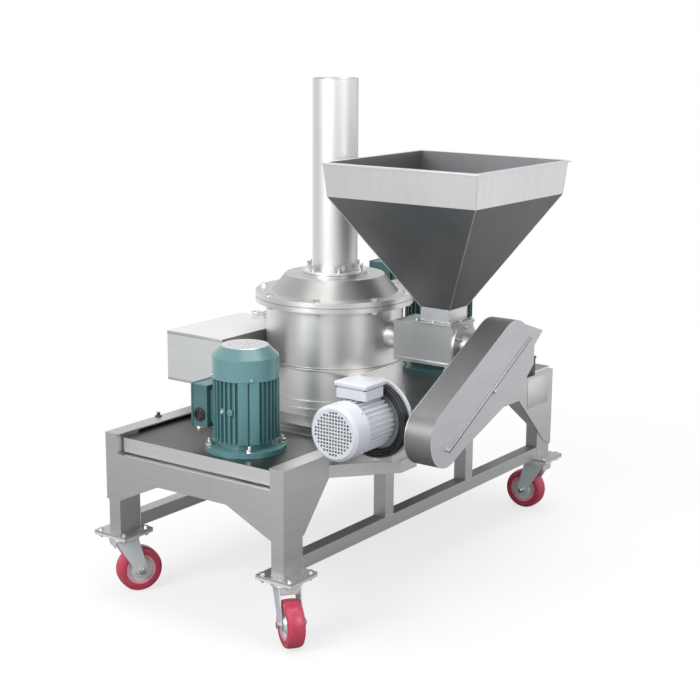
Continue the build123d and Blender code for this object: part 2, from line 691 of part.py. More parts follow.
def lid_bolts():
    """Bolts with a head on the lid's flange and a nut under the casing's."""
    under = CASING_TOP - FLANGE_THICKNESS
    solids = []
    for place in around(LID_BOLT_COUNT, LID_BOLT_CIRCLE, LID_BOLT_FIRST_ANGLE):
        hexagon = RegularPolygon(LID_BOLT_HEAD_RADIUS, 6)
        bolt = plate_facing_z(hexagon, (LID_FLANGE_TOP, LID_FLANGE_TOP + LID_BOLT_HEAD_HEIGHT))
        bolt += plate_facing_z(hexagon, (under - LID_BOLT_HEAD_HEIGHT, under))
        bolt += rod_z(0, 0, (under, LID_FLANGE_TOP), LID_BOLT_RADIUS)
        solids.append(at_vessel(place * bolt))
    return solids


def outlet_pipe():
    pipe = rod_z(0, 0, (COLLAR_TOP, PIPE_TOP), PIPE_RADIUS)
    pipe += rod_z(0, 0, (COLLAR_TOP, PIPE_FLANGE_TOP), PIPE_FLANGE_RADIUS)
    return at_vessel(pipe - rod_z(0, 0, (COLLAR_TOP, PIPE_TOP), PIPE_INSIDE))


def pipe_clamps():
    """Wing nuts with washers on the pipe's flange."""
    washer_top = PIPE_FLANGE_TOP + WING_WASHER_HEIGHT
    nut_top = washer_top + WING_BOSS_HEIGHT
    wing_top = nut_top + WING_HEIGHT
    blade = (-WING_THICKNESS / 2, WING_THICKNESS / 2)
    solids = []
    for place in around(WING_COUNT, WING_CIRCLE, WING_FIRST_ANGLE):
        nut = rod_z(0, 0, (PIPE_FLANGE_TOP, washer_top), WING_WASHER_RADIUS)
        nut += rod_z(0, 0, (washer_top, nut_top), WING_BOSS_RADIUS)
        nut += block(blade, (-WING_SPAN / 2, WING_SPAN / 2), (nut_top - WING_ROOT, wing_top))
        nut -= block(blade, (-WING_NOTCH / 2, WING_NOTCH / 2), (nut_top, wing_top))
        nut += rod_z(0, 0, (nut_top, nut_top + STUD_HEIGHT), STUD_RADIUS)
        solids.append(at_vessel(place * nut))
    return solids


def air_inlet_duct():
    """Sheet duct on the vessel's left, open below at its front end and into the casing at its back."""
    duct = block((DUCT_LEFT, DUCT_RIGHT), (DUCT_FRONT, DUCT_BACK), (DUCT_BOTTOM, DUCT_TOP))
    duct -= block(
        (DUCT_LEFT + DUCT_WALL, DUCT_RIGHT - DUCT_WALL),
        (DUCT_FRONT + DUCT_WALL, DUCT_BACK - DUCT_WALL),
        (DUCT_BOTTOM + DUCT_WALL, DUCT_TOP - DUCT_WALL),
    )
    mouth_front = DUCT_FRONT + DUCT_MOUTH_MARGIN
    duct -= block(
        (DUCT_LEFT + DUCT_MOUTH_MARGIN, DUCT_RIGHT - DUCT_MOUTH_MARGIN),
        (mouth_front, mouth_front + DUCT_MOUTH_LENGTH),
        (DUCT_BOTTOM, DUCT_BOTTOM + DUCT_WALL),
    )
    return duct - rod_z(0, VESSEL_Y, (DUCT_BOTTOM, DUCT_TOP), VESSEL_RADIUS + LINER_GAP)


def toothed_liner():
    """Ring of small teeth round the hammers."""
    outer = VESSEL_INSIDE - LINER_GAP
    heights = (LINER_BOTTOM, CASING_SEAM - LINER_TOP_GAP)
    ring = tube_z(0, 0, heights, outer, outer - LINER_THICKNESS)
    for place in around(LINER_TEETH, outer - LINER_THICKNESS):
        gap = (-LINER_TOOTH_GAP / 2, LINER_TOOTH_GAP / 2)
        ring -= place * block((-LINER_TOOTH_DEPTH, LINER_TOOTH_DEPTH), gap, heights)
    return at_vessel(ring)


# Spindle and its drives


def pulley(radius, centre_z, bore):
    """Flat-belt pulley with a rim above and below the belt."""
    bottom = centre_z - PULLEY_WIDTH / 2
    top = centre_z + PULLEY_WIDTH / 2
    wheel = rod_z(0, 0, (bottom, top), radius)
    wheel += rod_z(0, 0, (bottom, bottom + PULLEY_RIM_WIDTH), radius + PULLEY_RIM_HEIGHT)
    wheel += rod_z(0, 0, (top - PULLEY_RIM_WIDTH, top), radius + PULLEY_RIM_HEIGHT)
    return wheel - rod_z(0, 0, (bottom, top), bore) if bore else wheel


def belt_width():
    return PULLEY_WIDTH - 2 * PULLEY_RIM_WIDTH - 2 * BELT_GAP


def belt_outline(centre_a, radius_a, centre_b, radius_b):
    """Closed belt that clears both pulleys by the belt gap."""
    inner = (radius_a + BELT_GAP, radius_b + BELT_GAP)
    outer = (inner[0] + BELT_THICKNESS, inner[1] + BELT_THICKNESS)
    return strap(centre_a, outer[0], centre_b, outer[1]) - strap(centre_a, inner[0], centre_b, inner[1])


def spindle_housing():
    """Flanged bearing cartridge through the mill's floor."""
    body = rod_z(0, 0, (HOUSING_BOTTOM, HOUSING_TOP), HOUSING_RADIUS)
    body += rod_z(0, 0, (FLOOR_TOP, FLOOR_TOP + HOUSING_FLANGE_THICKNESS), HOUSING_FLANGE_RADIUS)
    body -= rod_z(0, 0, (HOUSING_BOTTOM, HOUSING_TOP), ROTOR_SHAFT_RADIUS + SHAFT_PASSAGE)
    for seat in spindle_bearing_spans():
        body -= rod_z(0, 0, seat, BEARING_OUTER_RADIUS)
    return at_vessel(body)


def spindle_bearing_spans():
    return (
        (HOUSING_BOTTOM, HOUSING_BOTTOM + BEARING_WIDTH),
        (HOUSING_TOP - BEARING_WIDTH, HOUSING_TOP),
    )


def spindle_bearings():
    outer = BEARING_OUTER_RADIUS - SEAT_FIT
    inner = ROTOR_SHAFT_RADIUS + RUNNING_FIT
    return [at_vessel(tube_z(0, 0, span, outer, inner)) for span in spindle_bearing_spans()]


def rotor_shaft():
    """Hollow shaft with the driven pulley at its foot."""
    heights = (ROTOR_SHAFT_BOTTOM, ROTOR_DISC_BOTTOM)
    shaft = rod_z(0, 0, heights, ROTOR_SHAFT_RADIUS)
    shaft += pulley(ROTOR_PULLEY_RADIUS, ROTOR_BELT_Z, 0)
    return at_vessel(shaft - rod_z(0, 0, heights, ROTOR_BORE_RADIUS))


def inner_bearings():
    """Bearings that carry the classifier's shaft inside the rotor's."""
    outer = ROTOR_BORE_RADIUS - SEAT_FIT
    inner = CLASSIFIER_SHAFT_RADIUS + RUNNING_FIT
    spans = (
        (ROTOR_SHAFT_BOTTOM, ROTOR_SHAFT_BOTTOM + BEARING_WIDTH),
        (ROTOR_DISC_BOTTOM - BEARING_WIDTH, ROTOR_DISC_BOTTOM),
    )
    return [at_vessel(tube_z(0, 0, span, outer, inner)) for span in spans]


def rotor_disc():
    top = ROTOR_DISC_BOTTOM + ROTOR_DISC_THICKNESS
    disc = rod_z(0, 0, (ROTOR_DISC_BOTTOM, top), ROTOR_DISC_RADIUS)
    disc += rod_z(0, 0, (top, top + ROTOR_HUB_HEIGHT), ROTOR_HUB_RADIUS)
    bore = CLASSIFIER_SHAFT_RADIUS + SHAFT_PASSAGE
    return at_vessel(disc - rod_z(0, 0, (ROTOR_DISC_BOTTOM, top + ROTOR_HUB_HEIGHT), bore))


def rotor_hammers():
    foot = ROTOR_DISC_BOTTOM + ROTOR_DISC_THICKNESS
    hammer = block(
        (-HAMMER_RADIAL / 2, HAMMER_RADIAL / 2),
        (-HAMMER_WIDTH / 2, HAMMER_WIDTH / 2),
        (foot, foot + HAMMER_HEIGHT),
    )
    return [at_vessel(place * hammer) for place in around(HAMMER_COUNT, HAMMER_CIRCLE)]


def classifier_shaft():
    """Inner shaft with its driven pulley, from below the rotor's pulley up to the classifier wheel."""
    bottom = CLASSIFIER_BELT_Z - PULLEY_WIDTH / 2 - SHAFT_END_MARGIN
    shaft = rod_z(0, 0, (bottom, WHEEL_BOTTOM + WHEEL_HEIGHT), CLASSIFIER_SHAFT_RADIUS)
    return at_vessel(shaft + pulley(CLASSIFIER_PULLEY_RADIUS, CLASSIFIER_BELT_Z, 0))


def classifier_wheel():
    """Cage of upright blades between a closed foot plate and an open top ring."""
    top = WHEEL_BOTTOM + WHEEL_HEIGHT
    bore = CLASSIFIER_SHAFT_RADIUS + SEAT_FIT
    wheel = tube_z(0, 0, (WHEEL_BOTTOM, WHEEL_BOTTOM + WHEEL_PLATE), WHEEL_RADIUS, bore)
    wheel += tube_z(0, 0, (top - WHEEL_PLATE, top), WHEEL_RADIUS, WHEEL_RADIUS - BLADE_DEPTH)
    wheel += tube_z(0, 0, (WHEEL_BOTTOM, WHEEL_BOTTOM + WHEEL_HEIGHT / 2), bore + WHEEL_PLATE, bore)
    blade = block(
        (-BLADE_DEPTH, 0),
        (-BLADE_THICKNESS / 2, BLADE_THICKNESS / 2),
        (WHEEL_BOTTOM + WHEEL_PLATE, top - WHEEL_PLATE),
    )
    for place in around(BLADE_COUNT, WHEEL_RADIUS - BLADE_RIM_INSET):
        wheel += place * blade
    return at_vessel(wheel)


def flat_belt(motor_place, motor_radius, spindle_radius, centre_z):
    outline = belt_outline(motor_place, motor_radius, (0, VESSEL_Y), spindle_radius)
    return plate_facing_z(outline, (centre_z - belt_width() / 2, centre_z + belt_width() / 2))


def rotor_belt():
    place = (REAR_MOTOR_X, REAR_MOTOR_Y)
    return flat_belt(place, ROTOR_MOTOR_PULLEY_RADIUS, ROTOR_PULLEY_RADIUS, ROTOR_BELT_Z)


def classifier_belt():
    place = (FRONT_MOTOR_X, FRONT_MOTOR_Y)
    return flat_belt(place, CLASSIFIER_MOTOR_PULLEY_RADIUS, CLASSIFIER_PULLEY_RADIUS, CLASSIFIER_BELT_Z)


# Motors


def finned_body(z_span, core, fin_radius, box_width):
    """Ribbed motor body; the ribs leave room for the terminal box on the left."""
    body = rod_z(0, 0, z_span, core)
    fin = block((0, fin_radius), (-FIN_THICKNESS / 2, FIN_THICKNESS / 2), z_span)
    step = 360.0 / FIN_COUNT
    for i in range(FIN_COUNT):
        angle = i * step
        in_front_of_box = cos(radians(angle)) < 0 and abs(sin(radians(angle))) * fin_radius < box_width / 2
        if not in_front_of_box:
            body += Rot(0, 0, angle) * fin
    return body


def motor_housing(base_z, flange, thickness, neck, z_span, core, fins, shaft, box_width):
    """Flange, neck and ribbed body round the space in which the armature turns."""
    housing = rod_z(0, 0, (base_z, base_z + thickness), flange)
    housing += rod_z(0, 0, (base_z + thickness, z_span[0]), neck)
    housing += finned_body(z_span, core, fins, box_width)
    housing -= rod_z(0, 0, (base_z, z_span[1]), shaft + RUNNING_FIT)
    return housing - rod_z(0, 0, armature_span(z_span, STATOR_GAP), armature_radius(core) + STATOR_GAP)


def armature_span(z_span, gap=0.0):
    return (z_span[0] + END_SHIELD + STATOR_GAP - gap, z_span[1] - END_SHIELD - STATOR_GAP + gap)


def armature_radius(core):
    return core * ARMATURE_SHARE


def grille_holes(radius, z_span):
    """Rings of small round holes in the flat top of a fan cover."""
    holes = [rod_z(0, 0, z_span, GRILLE_HOLE_RADIUS)]
    ring = 1
    while ring * GRILLE_PITCH + 2 * GRILLE_HOLE_RADIUS < radius:
        for place in around(6 * ring, ring * GRILLE_PITCH):
            holes.append(place * rod_z(0, 0, z_span, GRILLE_HOLE_RADIUS))
        ring += 1
    return holes


def square_grille_holes(radius, z_span):
    """Square holes on a square grid, as far out as the face is flat."""
    count = int(radius / SQUARE_PITCH)
    places = [
        (column * SQUARE_PITCH, row * SQUARE_PITCH)
        for column in range(-count, count + 1)
        for row in range(-count, count + 1)
    ]
    half = SQUARE_HOLE / 2
    holes = []
    for x, y in places:
        if (x * x + y * y) ** 0.5 + SQUARE_PITCH < radius:
            holes.append(block((x - half, x + half), (y - half, y + half), z_span))
    return holes


def motor_fan_cover(bottom, shoulder, top, radius, grille, hole_pattern=grille_holes):
    """Thin cap with a sloping shoulder and a pierced top."""
    section = Polygon(
        (radius - COVER_SHEET, bottom),
        (radius, bottom),
        (radius, shoulder),
        (grille, top),
        (0, top),
        (0, top - COVER_SHEET),
        (grille - COVER_SHEET, top - COVER_SHEET),
        (radius - COVER_SHEET, shoulder - COVER_SHEET),
        align=None,
    )
    cover = revolve(Plane.XZ * section, Axis.Z)
    for hole in hole_pattern(grille, (top - COVER_SHEET, top)):
        cover -= hole
    return cover


def fan_blade_span():
    return (-FAN_BLADE_THICKNESS / 2, FAN_BLADE_THICKNESS / 2)


def motor_shaft(shaft, pulley_radius, belt_z, z_span, core, cover_top, cover_radius):
    """Shaft with the armature, the cooling fan at its top and the driving pulley at its foot."""
    bottom = belt_z - PULLEY_WIDTH / 2 - SHAFT_END_MARGIN
    fan_span = (z_span[1] + FAN_FOOT_GAP, cover_top - FAN_TOP_GAP)
    part = rod_z(0, 0, (bottom, fan_span[1] + SHAFT_END_MARGIN), shaft)
    part += rod_z(0, 0, armature_span(z_span), armature_radius(core))
    part += pulley(pulley_radius, belt_z, 0)
    part += rod_z(0, 0, fan_span, shaft + FAN_HUB_WALL)
    blade = block((shaft, cover_radius - FAN_TIP_GAP), fan_blade_span(), fan_span)
    for place in around(FAN_BLADES, 0.0):
        part += place * blade
    return part


def terminal_box(core, inner_reach, reach, width, z_span):
    """Connection box on the motor's left with its foot against the body and a cable gland below."""
    box = block((-reach, -inner_reach), (-width / 2, width / 2), z_span)
    neck_half = width / 2 - BOX_NECK_INSET
    neck = block(
        (-inner_reach, 0),
        (-neck_half, neck_half),
        (z_span[0] + BOX_NECK_INSET, z_span[1] - BOX_NECK_INSET),
    )
    neck -= rod_z(0, 0, z_span, core)
    gland_x = -(reach + inner_reach) / 2
    gland = rod_z(gland_x, 0, (z_span[0] - GLAND_LENGTH, z_span[0]), GLAND_RADIUS)
    return box + neck + gland


def at_front_motor(part):
    return Pos(FRONT_MOTOR_X, FRONT_MOTOR_Y, 0) * part


def at_rear_motor(part):
    return Pos(REAR_MOTOR_X, REAR_MOTOR_Y, 0) * part


def front_motor_parts():
    body_span = (FRONT_MOTOR_BODY_BOTTOM, FRONT_MOTOR_BODY_TOP)
    housing = motor_housing(
        SLIDE_PLATE_TOP,
        FRONT_MOTOR_FLANGE_RADIUS,
        FRONT_MOTOR_FLANGE_THICKNESS,
        FRONT_MOTOR_NECK_RADIUS,
        body_span,
        FRONT_MOTOR_CORE_RADIUS,
        FRONT_MOTOR_FIN_RADIUS,
        FRONT_MOTOR_SHAFT_RADIUS,
        FRONT_BOX_WIDTH,
    )
    cover = motor_fan_cover(
        FRONT_MOTOR_BODY_TOP,
        FRONT_MOTOR_COVER_SHOULDER,
        FRONT_MOTOR_COVER_TOP,
        FRONT_MOTOR_COVER_RADIUS,
        FRONT_MOTOR_GRILLE_RADIUS,
    )
    shaft = motor_shaft(
        FRONT_MOTOR_SHAFT_RADIUS,
        CLASSIFIER_MOTOR_PULLEY_RADIUS,
        CLASSIFIER_BELT_Z,
        body_span,
        FRONT_MOTOR_CORE_RADIUS,
        FRONT_MOTOR_COVER_TOP,
        FRONT_MOTOR_COVER_RADIUS,
    )
    box = terminal_box(
        FRONT_MOTOR_CORE_RADIUS,
        FRONT_BOX_INNER_REACH,
        FRONT_BOX_REACH,
        FRONT_BOX_WIDTH,
        (FRONT_BOX_BOTTOM, FRONT_BOX_TOP),
    )
    return {
        "classifier_motor_housing": at_front_motor(housing),
        "classifier_motor_fan_cover": at_front_motor(cover),
        "classifier_motor_shaft": at_front_motor(shaft),
        "classifier_motor_terminal_box": at_front_motor(box),
    }


def rear_motor_parts():
    body_span = (REAR_MOTOR_BODY_BOTTOM, REAR_MOTOR_BODY_TOP)
    housing = motor_housing(
        DECK_TOP,
        REAR_MOTOR_FLANGE_RADIUS,
        REAR_MOTOR_FLANGE_THICKNESS,
        REAR_MOTOR_NECK_RADIUS,
        body_span,
        REAR_MOTOR_CORE_RADIUS,
        REAR_MOTOR_FIN_RADIUS,
        REAR_MOTOR_SHAFT_RADIUS,
        REAR_BOX_WIDTH,
    )
    cover = motor_fan_cover(
        REAR_MOTOR_BODY_TOP,
        REAR_MOTOR_COVER_SHOULDER,
        REAR_MOTOR_COVER_TOP,
        REAR_MOTOR_COVER_RADIUS,
        REAR_MOTOR_GRILLE_RADIUS,
    )
    shaft = motor_shaft(
        REAR_MOTOR_SHAFT_RADIUS,
        ROTOR_MOTOR_PULLEY_RADIUS,
        ROTOR_BELT_Z,
        body_span,
        REAR_MOTOR_CORE_RADIUS,
        REAR_MOTOR_COVER_TOP,
        REAR_MOTOR_COVER_RADIUS,
    )
    box = terminal_box(
        REAR_MOTOR_CORE_RADIUS,
        REAR_BOX_INNER_REACH,
        REAR_BOX_REACH,
        REAR_BOX_WIDTH,
        (REAR_BOX_BOTTOM, REAR_BOX_TOP),
    )
    return {
        "rotor_motor_housing": at_rear_motor(housing),
        "rotor_motor_fan_cover": at_rear_motor(cover),
        "rotor_motor_shaft": at_rear_motor(shaft),
        "rotor_motor_terminal_box": at_rear_motor(box),
    }


# Screw feeder


def square(half, z):
    return Plane.XY.offset(z) * Rectangle(2 * half, 2 * half)


def square_plate(half, z_span):
    return plate_facing_z(Rectangle(2 * half, 2 * half), z_span)


def hopper():
    """Square sheet hopper: flanged neck, steep cone, short skirt and a folded rim."""
    neck_foot = FEEDER_TOP + HOPPER_FLANGE_THICKNESS
    flange_top = neck_foot + HOPPER_FLANGE_THICKNESS
    neck_inside = HOPPER_NECK_HALF - HOPPER_SHEET
    skirt_inside = HOPPER_SKIRT_HALF - HOPPER_SHEET
    rim_inside = HOPPER_RIM_HALF - HOPPER_RIM_LIP
    outside = square_plate(HOPPER_FLANGE_HALF, (neck_foot, flange_top))
    outside += square_plate(HOPPER_NECK_HALF, (flange_top, HOPPER_CONE_FOOT))
    skirt_foot = square(HOPPER_SKIRT_HALF, HOPPER_SKIRT_FOOT)
    outside += loft([square(HOPPER_NECK_HALF, HOPPER_CONE_FOOT), skirt_foot])
    skirt_head = square(HOPPER_RIM_HALF - HOPPER_RIM_OVERHANG, HOPPER_RIM_Z)
    outside += loft([skirt_foot, skirt_head])
    rim_span = (HOPPER_RIM_Z - HOPPER_RIM_THICKNESS, HOPPER_RIM_Z)
    outside += square_plate(HOPPER_RIM_HALF, rim_span)
    inside = square_plate(neck_inside, (neck_foot, HOPPER_CONE_FOOT))
    inside += loft([square(neck_inside, HOPPER_CONE_FOOT), square(skirt_inside, HOPPER_SKIRT_FOOT)])
    inside += loft([square(skirt_inside, HOPPER_SKIRT_FOOT), square(rim_inside, HOPPER_RIM_Z)])
    return Pos(HOPPER_X, VESSEL_Y, 0) * (outside - inside)


def feeder_box():
    """Trough round the screw, with the hopper's opening and flange on top."""
    sides = (-FEEDER_HALF_WIDTH, FEEDER_HALF_WIDTH)
    box = block((FEEDER_LEFT, FEEDER_RIGHT), sides, (FEEDER_BOTTOM, FEEDER_TOP))
    flange_top = FEEDER_TOP + HOPPER_FLANGE_THICKNESS
    box += Pos(HOPPER_X, 0, 0) * square_plate(HOPPER_FLANGE_HALF, (FEEDER_TOP, flange_top))
    box -= Pos(HOPPER_X, 0, 0) * square_plate(HOPPER_NECK_HALF - HOPPER_SHEET, (SCREW_Z, flange_top))
    box -= rod_x((FEEDER_LEFT, FEEDER_RIGHT - FEEDER_END_WALL), 0, SCREW_Z, SCREW_BORE)
    box -= rod_x((FEEDER_LEFT, FEEDER_RIGHT), 0, SCREW_Z, SCREW_SHAFT_RADIUS + SHAFT_PASSAGE)
    return at_vessel(box)


def feed_screw():
    """Shaft with a helical flight that carries the spice from the hopper into the vessel."""
    shaft = rod_x((SCREW_TIP_X, pulley_right()), 0, SCREW_Z, SCREW_SHAFT_RADIUS)
    flight_length = FEEDER_RIGHT - FEEDER_END_WALL - SCREW_END_GAP - SCREW_FLIGHT_START_X
    root = SCREW_SHAFT_RADIUS - SCREW_FLIGHT_ROOT
    height = SCREW_FLIGHT_RADIUS - root
    helix = Helix(pitch=SCREW_PITCH, height=flight_length, radius=root)
    section = Plane(origin=helix @ 0, x_dir=(1, 0, 0), z_dir=helix % 0) * Rectangle(
        height, SCREW_FLIGHT_THICKNESS, align=(START, MIDDLE)
    )
    flight = sweep(section, path=helix, is_frenet=True)
    return at_vessel(shaft + Pos(SCREW_FLIGHT_START_X, 0, SCREW_Z) * Rot(0, 90, 0) * flight)


def feeder_bearing_housing():
    """Flanged tube between the trough and the guard, with a bearing bore at each end."""
    tube_start = FEEDER_RIGHT + END_FLANGE_THICKNESS
    body = rod_x((FEEDER_RIGHT, tube_start), 0, SCREW_Z, END_FLANGE_RADIUS)
    body += rod_x((tube_start, GUARD_LEFT), 0, SCREW_Z, BEARING_TUBE_RADIUS)
    body -= rod_x((FEEDER_RIGHT, GUARD_LEFT), 0, SCREW_Z, SCREW_SHAFT_RADIUS + RUNNING_FIT)
    cavity = (tube_start + BEARING_WIDTH, GUARD_LEFT - BEARING_WIDTH)
    return at_vessel(body - rod_x(cavity, 0, SCREW_Z, BEARING_TUBE_BORE))


def pulley_right():
    return FEED_BELT_X + PULLEY_WIDTH / 2 + SHAFT_END_MARGIN


def side_pulley(radius, y, z):
    """Pulley of the small drive, turning about X."""
    return Pos(0, y, z) * Rot(0, 90, 0) * pulley(radius, FEED_BELT_X, 0)


def feeder_pulley():
    wheel = side_pulley(FEED_PULLEY_RADIUS, VESSEL_Y, SCREW_Z)
    return wheel - rod_x((GUARD_LEFT, GUARD_RIGHT), VESSEL_Y, SCREW_Z, SCREW_SHAFT_RADIUS + SEAT_FIT)


def feeder_belt():
    outline = belt_outline((VESSEL_Y, SCREW_Z), FEED_PULLEY_RADIUS, (DRIVE_Y, DRIVE_Z), DRIVE_PULLEY_RADIUS)
    return plate_facing_x(outline, (FEED_BELT_X - belt_width() / 2, FEED_BELT_X + belt_width() / 2))


def guard_outline(inset):
    """Tapered guard shape with the pointed tail sheet behind the upper pulley."""
    upper = Vector(VESSEL_Y, SCREW_Z)
    lower = Vector(DRIVE_Y, DRIVE_Z)
    upper_radius = GUARD_UPPER_RADIUS - inset
    lower_radius = GUARD_LOWER_RADIUS - inset
    tail = []
    for y, z in GUARD_TAIL:
        corner = Vector(y, z)
        inwards = (upper - corner).normalized()
        tail.append(tuple(corner + inwards * inset * GUARD_CORNER_SHARE)[:2])
    crown = (VESSEL_Y, SCREW_Z + upper_radius)
    foot = (DRIVE_Y, DRIVE_Z - lower_radius)
    shape = strap(tuple(upper)[:2], upper_radius, tuple(lower)[:2], lower_radius)
    return shape + Polygon(tuple(upper)[:2], foot, *reversed(tail), crown, align=None)


def guard_back():
    """Flat back plate, carried by the bearing housing and the gearbox."""
    plate = plate_facing_x(guard_outline(0), (GUARD_LEFT, GUARD_LEFT + GUARD_SHEET))
    for y, z, radius in ((VESSEL_Y, SCREW_Z, SCREW_SHAFT_RADIUS), (DRIVE_Y, DRIVE_Z, OUTPUT_SHAFT_RADIUS)):
        plate -= rod_x((GUARD_LEFT, GUARD_LEFT + GUARD_SHEET), y, z, radius + SHAFT_PASSAGE)
    return plate


def guard_cover():
    """Deep cover over the two pulleys."""
    start = GUARD_LEFT + GUARD_SHEET
    cover = plate_facing_x(guard_outline(0), (start, GUARD_RIGHT))
    return cover - plate_facing_x(guard_outline(GUARD_SHEET), (start, GUARD_RIGHT - GUARD_SHEET))


# Gearbox and gear motor


def gearbox_housing():
    """Worm gearbox case with an output neck that reaches the guard."""
    y_span = (GEARBOX_FRONT, DRIVE_Y + GEARBOX_HALF_LENGTH)
    x_span = (GEAR_X - GEARBOX_HALF_WIDTH, GEAR_X + GEARBOX_HALF_WIDTH)
    case = block(x_span, y_span, (GEARBOX_BOTTOM, GEARBOX_TOP))
    case = fillet(case.edges().filter_by(Axis.X), GEARBOX_WALL / 2)
    case += rod_x((x_span[1], GUARD_LEFT), DRIVE_Y, DRIVE_Z, GEARBOX_NECK_RADIUS)
    case -= block(
        (x_span[0] + GEARBOX_WALL, x_span[1] - GEARBOX_WALL),
        (y_span[0] + GEARBOX_WALL, y_span[1] - GEARBOX_WALL),
        (GEARBOX_BOTTOM + GEARBOX_WALL, GEARBOX_TOP - GEARBOX_WALL),
    )
    case -= rod_x((GEAR_X, GUARD_LEFT), DRIVE_Y, DRIVE_Z, OUTPUT_SHAFT_RADIUS + RUNNING_FIT)
    return case - rod_y(GEAR_X, (y_span[0], DRIVE_Y), WORM_Z, WORM_SHAFT_RADIUS + RUNNING_FIT)


def output_shaft():
    """Worm wheel, its shaft and the small driving pulley."""
    left = GEAR_X - GEARBOX_HALF_WIDTH + GEARBOX_WALL + OUTPUT_SHAFT_END_GAP
    shaft = rod_x((left, pulley_right()), DRIVE_Y, DRIVE_Z, OUTPUT_SHAFT_RADIUS)
    wheel = (GEAR_X - WORM_WHEEL_WIDTH / 2, GEAR_X + WORM_WHEEL_WIDTH / 2)
    shaft += rod_x(wheel, DRIVE_Y, DRIVE_Z, WORM_WHEEL_RADIUS)
    return shaft + side_pulley(DRIVE_PULLEY_RADIUS, DRIVE_Y, DRIVE_Z)


def along_y(part, y):
    """Turn a part that was drawn upright so that its top faces the front, and put it on the worm's axis."""
    return Pos(GEAR_X, y, WORM_Z) * Rot(90, 0, 0) * part


def gear_motor_housing():
    """Ribbed body with the large round flange that joins the gearbox."""
    body_back = GEAR_DISC_FRONT
    length = body_back - GEAR_MOTOR_BODY_FRONT
    body = rod_z(0, 0, (0, length), GEAR_MOTOR_CORE_RADIUS)
    fin = block((0, GEAR_MOTOR_FIN_RADIUS), (-FIN_THICKNESS / 2, FIN_THICKNESS / 2), (COIL_DEPTH, length))
    for place in around(GEAR_MOTOR_FIN_COUNT, 0.0):
        body += place * fin
    body += rod_z(0, 0, (-GEAR_MOTOR_DISC_THICKNESS, 0), GEAR_MOTOR_DISC_RADIUS)
    body -= rod_z(0, 0, (-GEAR_MOTOR_DISC_THICKNESS, length), WORM_SHAFT_RADIUS + RUNNING_FIT)
    armature = armature_radius(GEAR_MOTOR_CORE_RADIUS) + STATOR_GAP
    body -= rod_z(0, 0, armature_span((0, length), STATOR_GAP), armature)
    return along_y(body, body_back)


def gear_motor_fan_cover():
    depth = GEAR_MOTOR_BODY_FRONT - GEAR_MOTOR_FACE
    cover = motor_fan_cover(
        0,
        depth - GEAR_MOTOR_FACE_BEVEL,
        depth,
        GEAR_MOTOR_COVER_RADIUS,
        GEAR_MOTOR_COVER_RADIUS - GEAR_MOTOR_FACE_BEVEL,
        square_grille_holes,
    )
    return along_y(cover, GEAR_MOTOR_BODY_FRONT)


def worm_shaft():
    """Worm, armature and cooling fan on one shaft."""
    length = GEAR_DISC_FRONT - GEAR_MOTOR_BODY_FRONT
    worm_end = GEAR_DISC_FRONT - DRIVE_Y - WORM_LENGTH / 2
    fan_foot = length + GEAR_FAN_FOOT_GAP
    fan_span = (fan_foot, fan_foot + GEAR_FAN_DEPTH)
    shaft = rod_z(0, 0, (worm_end, fan_span[1] + SHAFT_END_MARGIN), WORM_SHAFT_RADIUS)
    shaft += rod_z(0, 0, (worm_end, worm_end + WORM_LENGTH), WORM_RADIUS)
    shaft += rod_z(0, 0, armature_span((0, length)), armature_radius(GEAR_MOTOR_CORE_RADIUS))
    shaft += rod_z(0, 0, fan_span, WORM_SHAFT_RADIUS + FAN_HUB_WALL)
    blade = block((0, GEAR_MOTOR_COVER_RADIUS - GEAR_FAN_TIP_GAP), fan_blade_span(), fan_span)
    for place in around(FAN_BLADES, 0.0):
        shaft += place * blade
    return along_y(shaft, GEAR_DISC_FRONT)


def gear_motor_terminal_box():
    y_span = (GEAR_BOX_FRONT, GEAR_BOX_BACK)
    box = block((GEAR_BOX_LEFT, GEAR_BOX_RIGHT), y_span, (GEAR_BOX_BOTTOM, GEAR_BOX_TOP))
    box = fillet(box.edges().filter_by(Axis.Z), GEAR_BOX_CORNER)
    neck = block(
        (GEAR_BOX_LEFT + BOX_NECK_INSET, GEAR_BOX_RIGHT - BOX_NECK_INSET),
        (GEAR_BOX_FRONT + BOX_NECK_INSET, GEAR_BOX_BACK - BOX_NECK_INSET),
        (WORM_Z, GEAR_BOX_BOTTOM),
    )
    neck -= rod_y(GEAR_X, y_span, WORM_Z, GEAR_MOTOR_FIN_RADIUS + LINER_GAP)
    return box + neck


def cable_coil():
    """Outer shape of the cable that is wound round the gear motor."""
    ring = rod_y(GEAR_X, (COIL_FRONT, GEAR_DISC_FRONT), WORM_Z, COIL_OUTER_RADIUS)
    ring -= rod_y(GEAR_X, (COIL_FRONT, GEAR_DISC_FRONT), WORM_Z, COIL_INNER_RADIUS)
    return fillet(ring.edges().filter_by(GeomType.CIRCLE), COIL_ROUNDING)


# Casters


def caster_plates():
    """Top plate of each caster, with the bore for its swivel pin."""
    solids = []
    for side_x, side_y, _ in CASTERS.values():
        z_span = (CASTER_PLATE_BOTTOM, CASTER_PLATE_TOP)
        bore = rod_z(side_x * CASTER_X, side_y * CASTER_Y, z_span, CASTER_PIN_RADIUS + RUNNING_FIT)
        solids.append(foot_plate(side_x, side_y, z_span) - bore)
    return solids


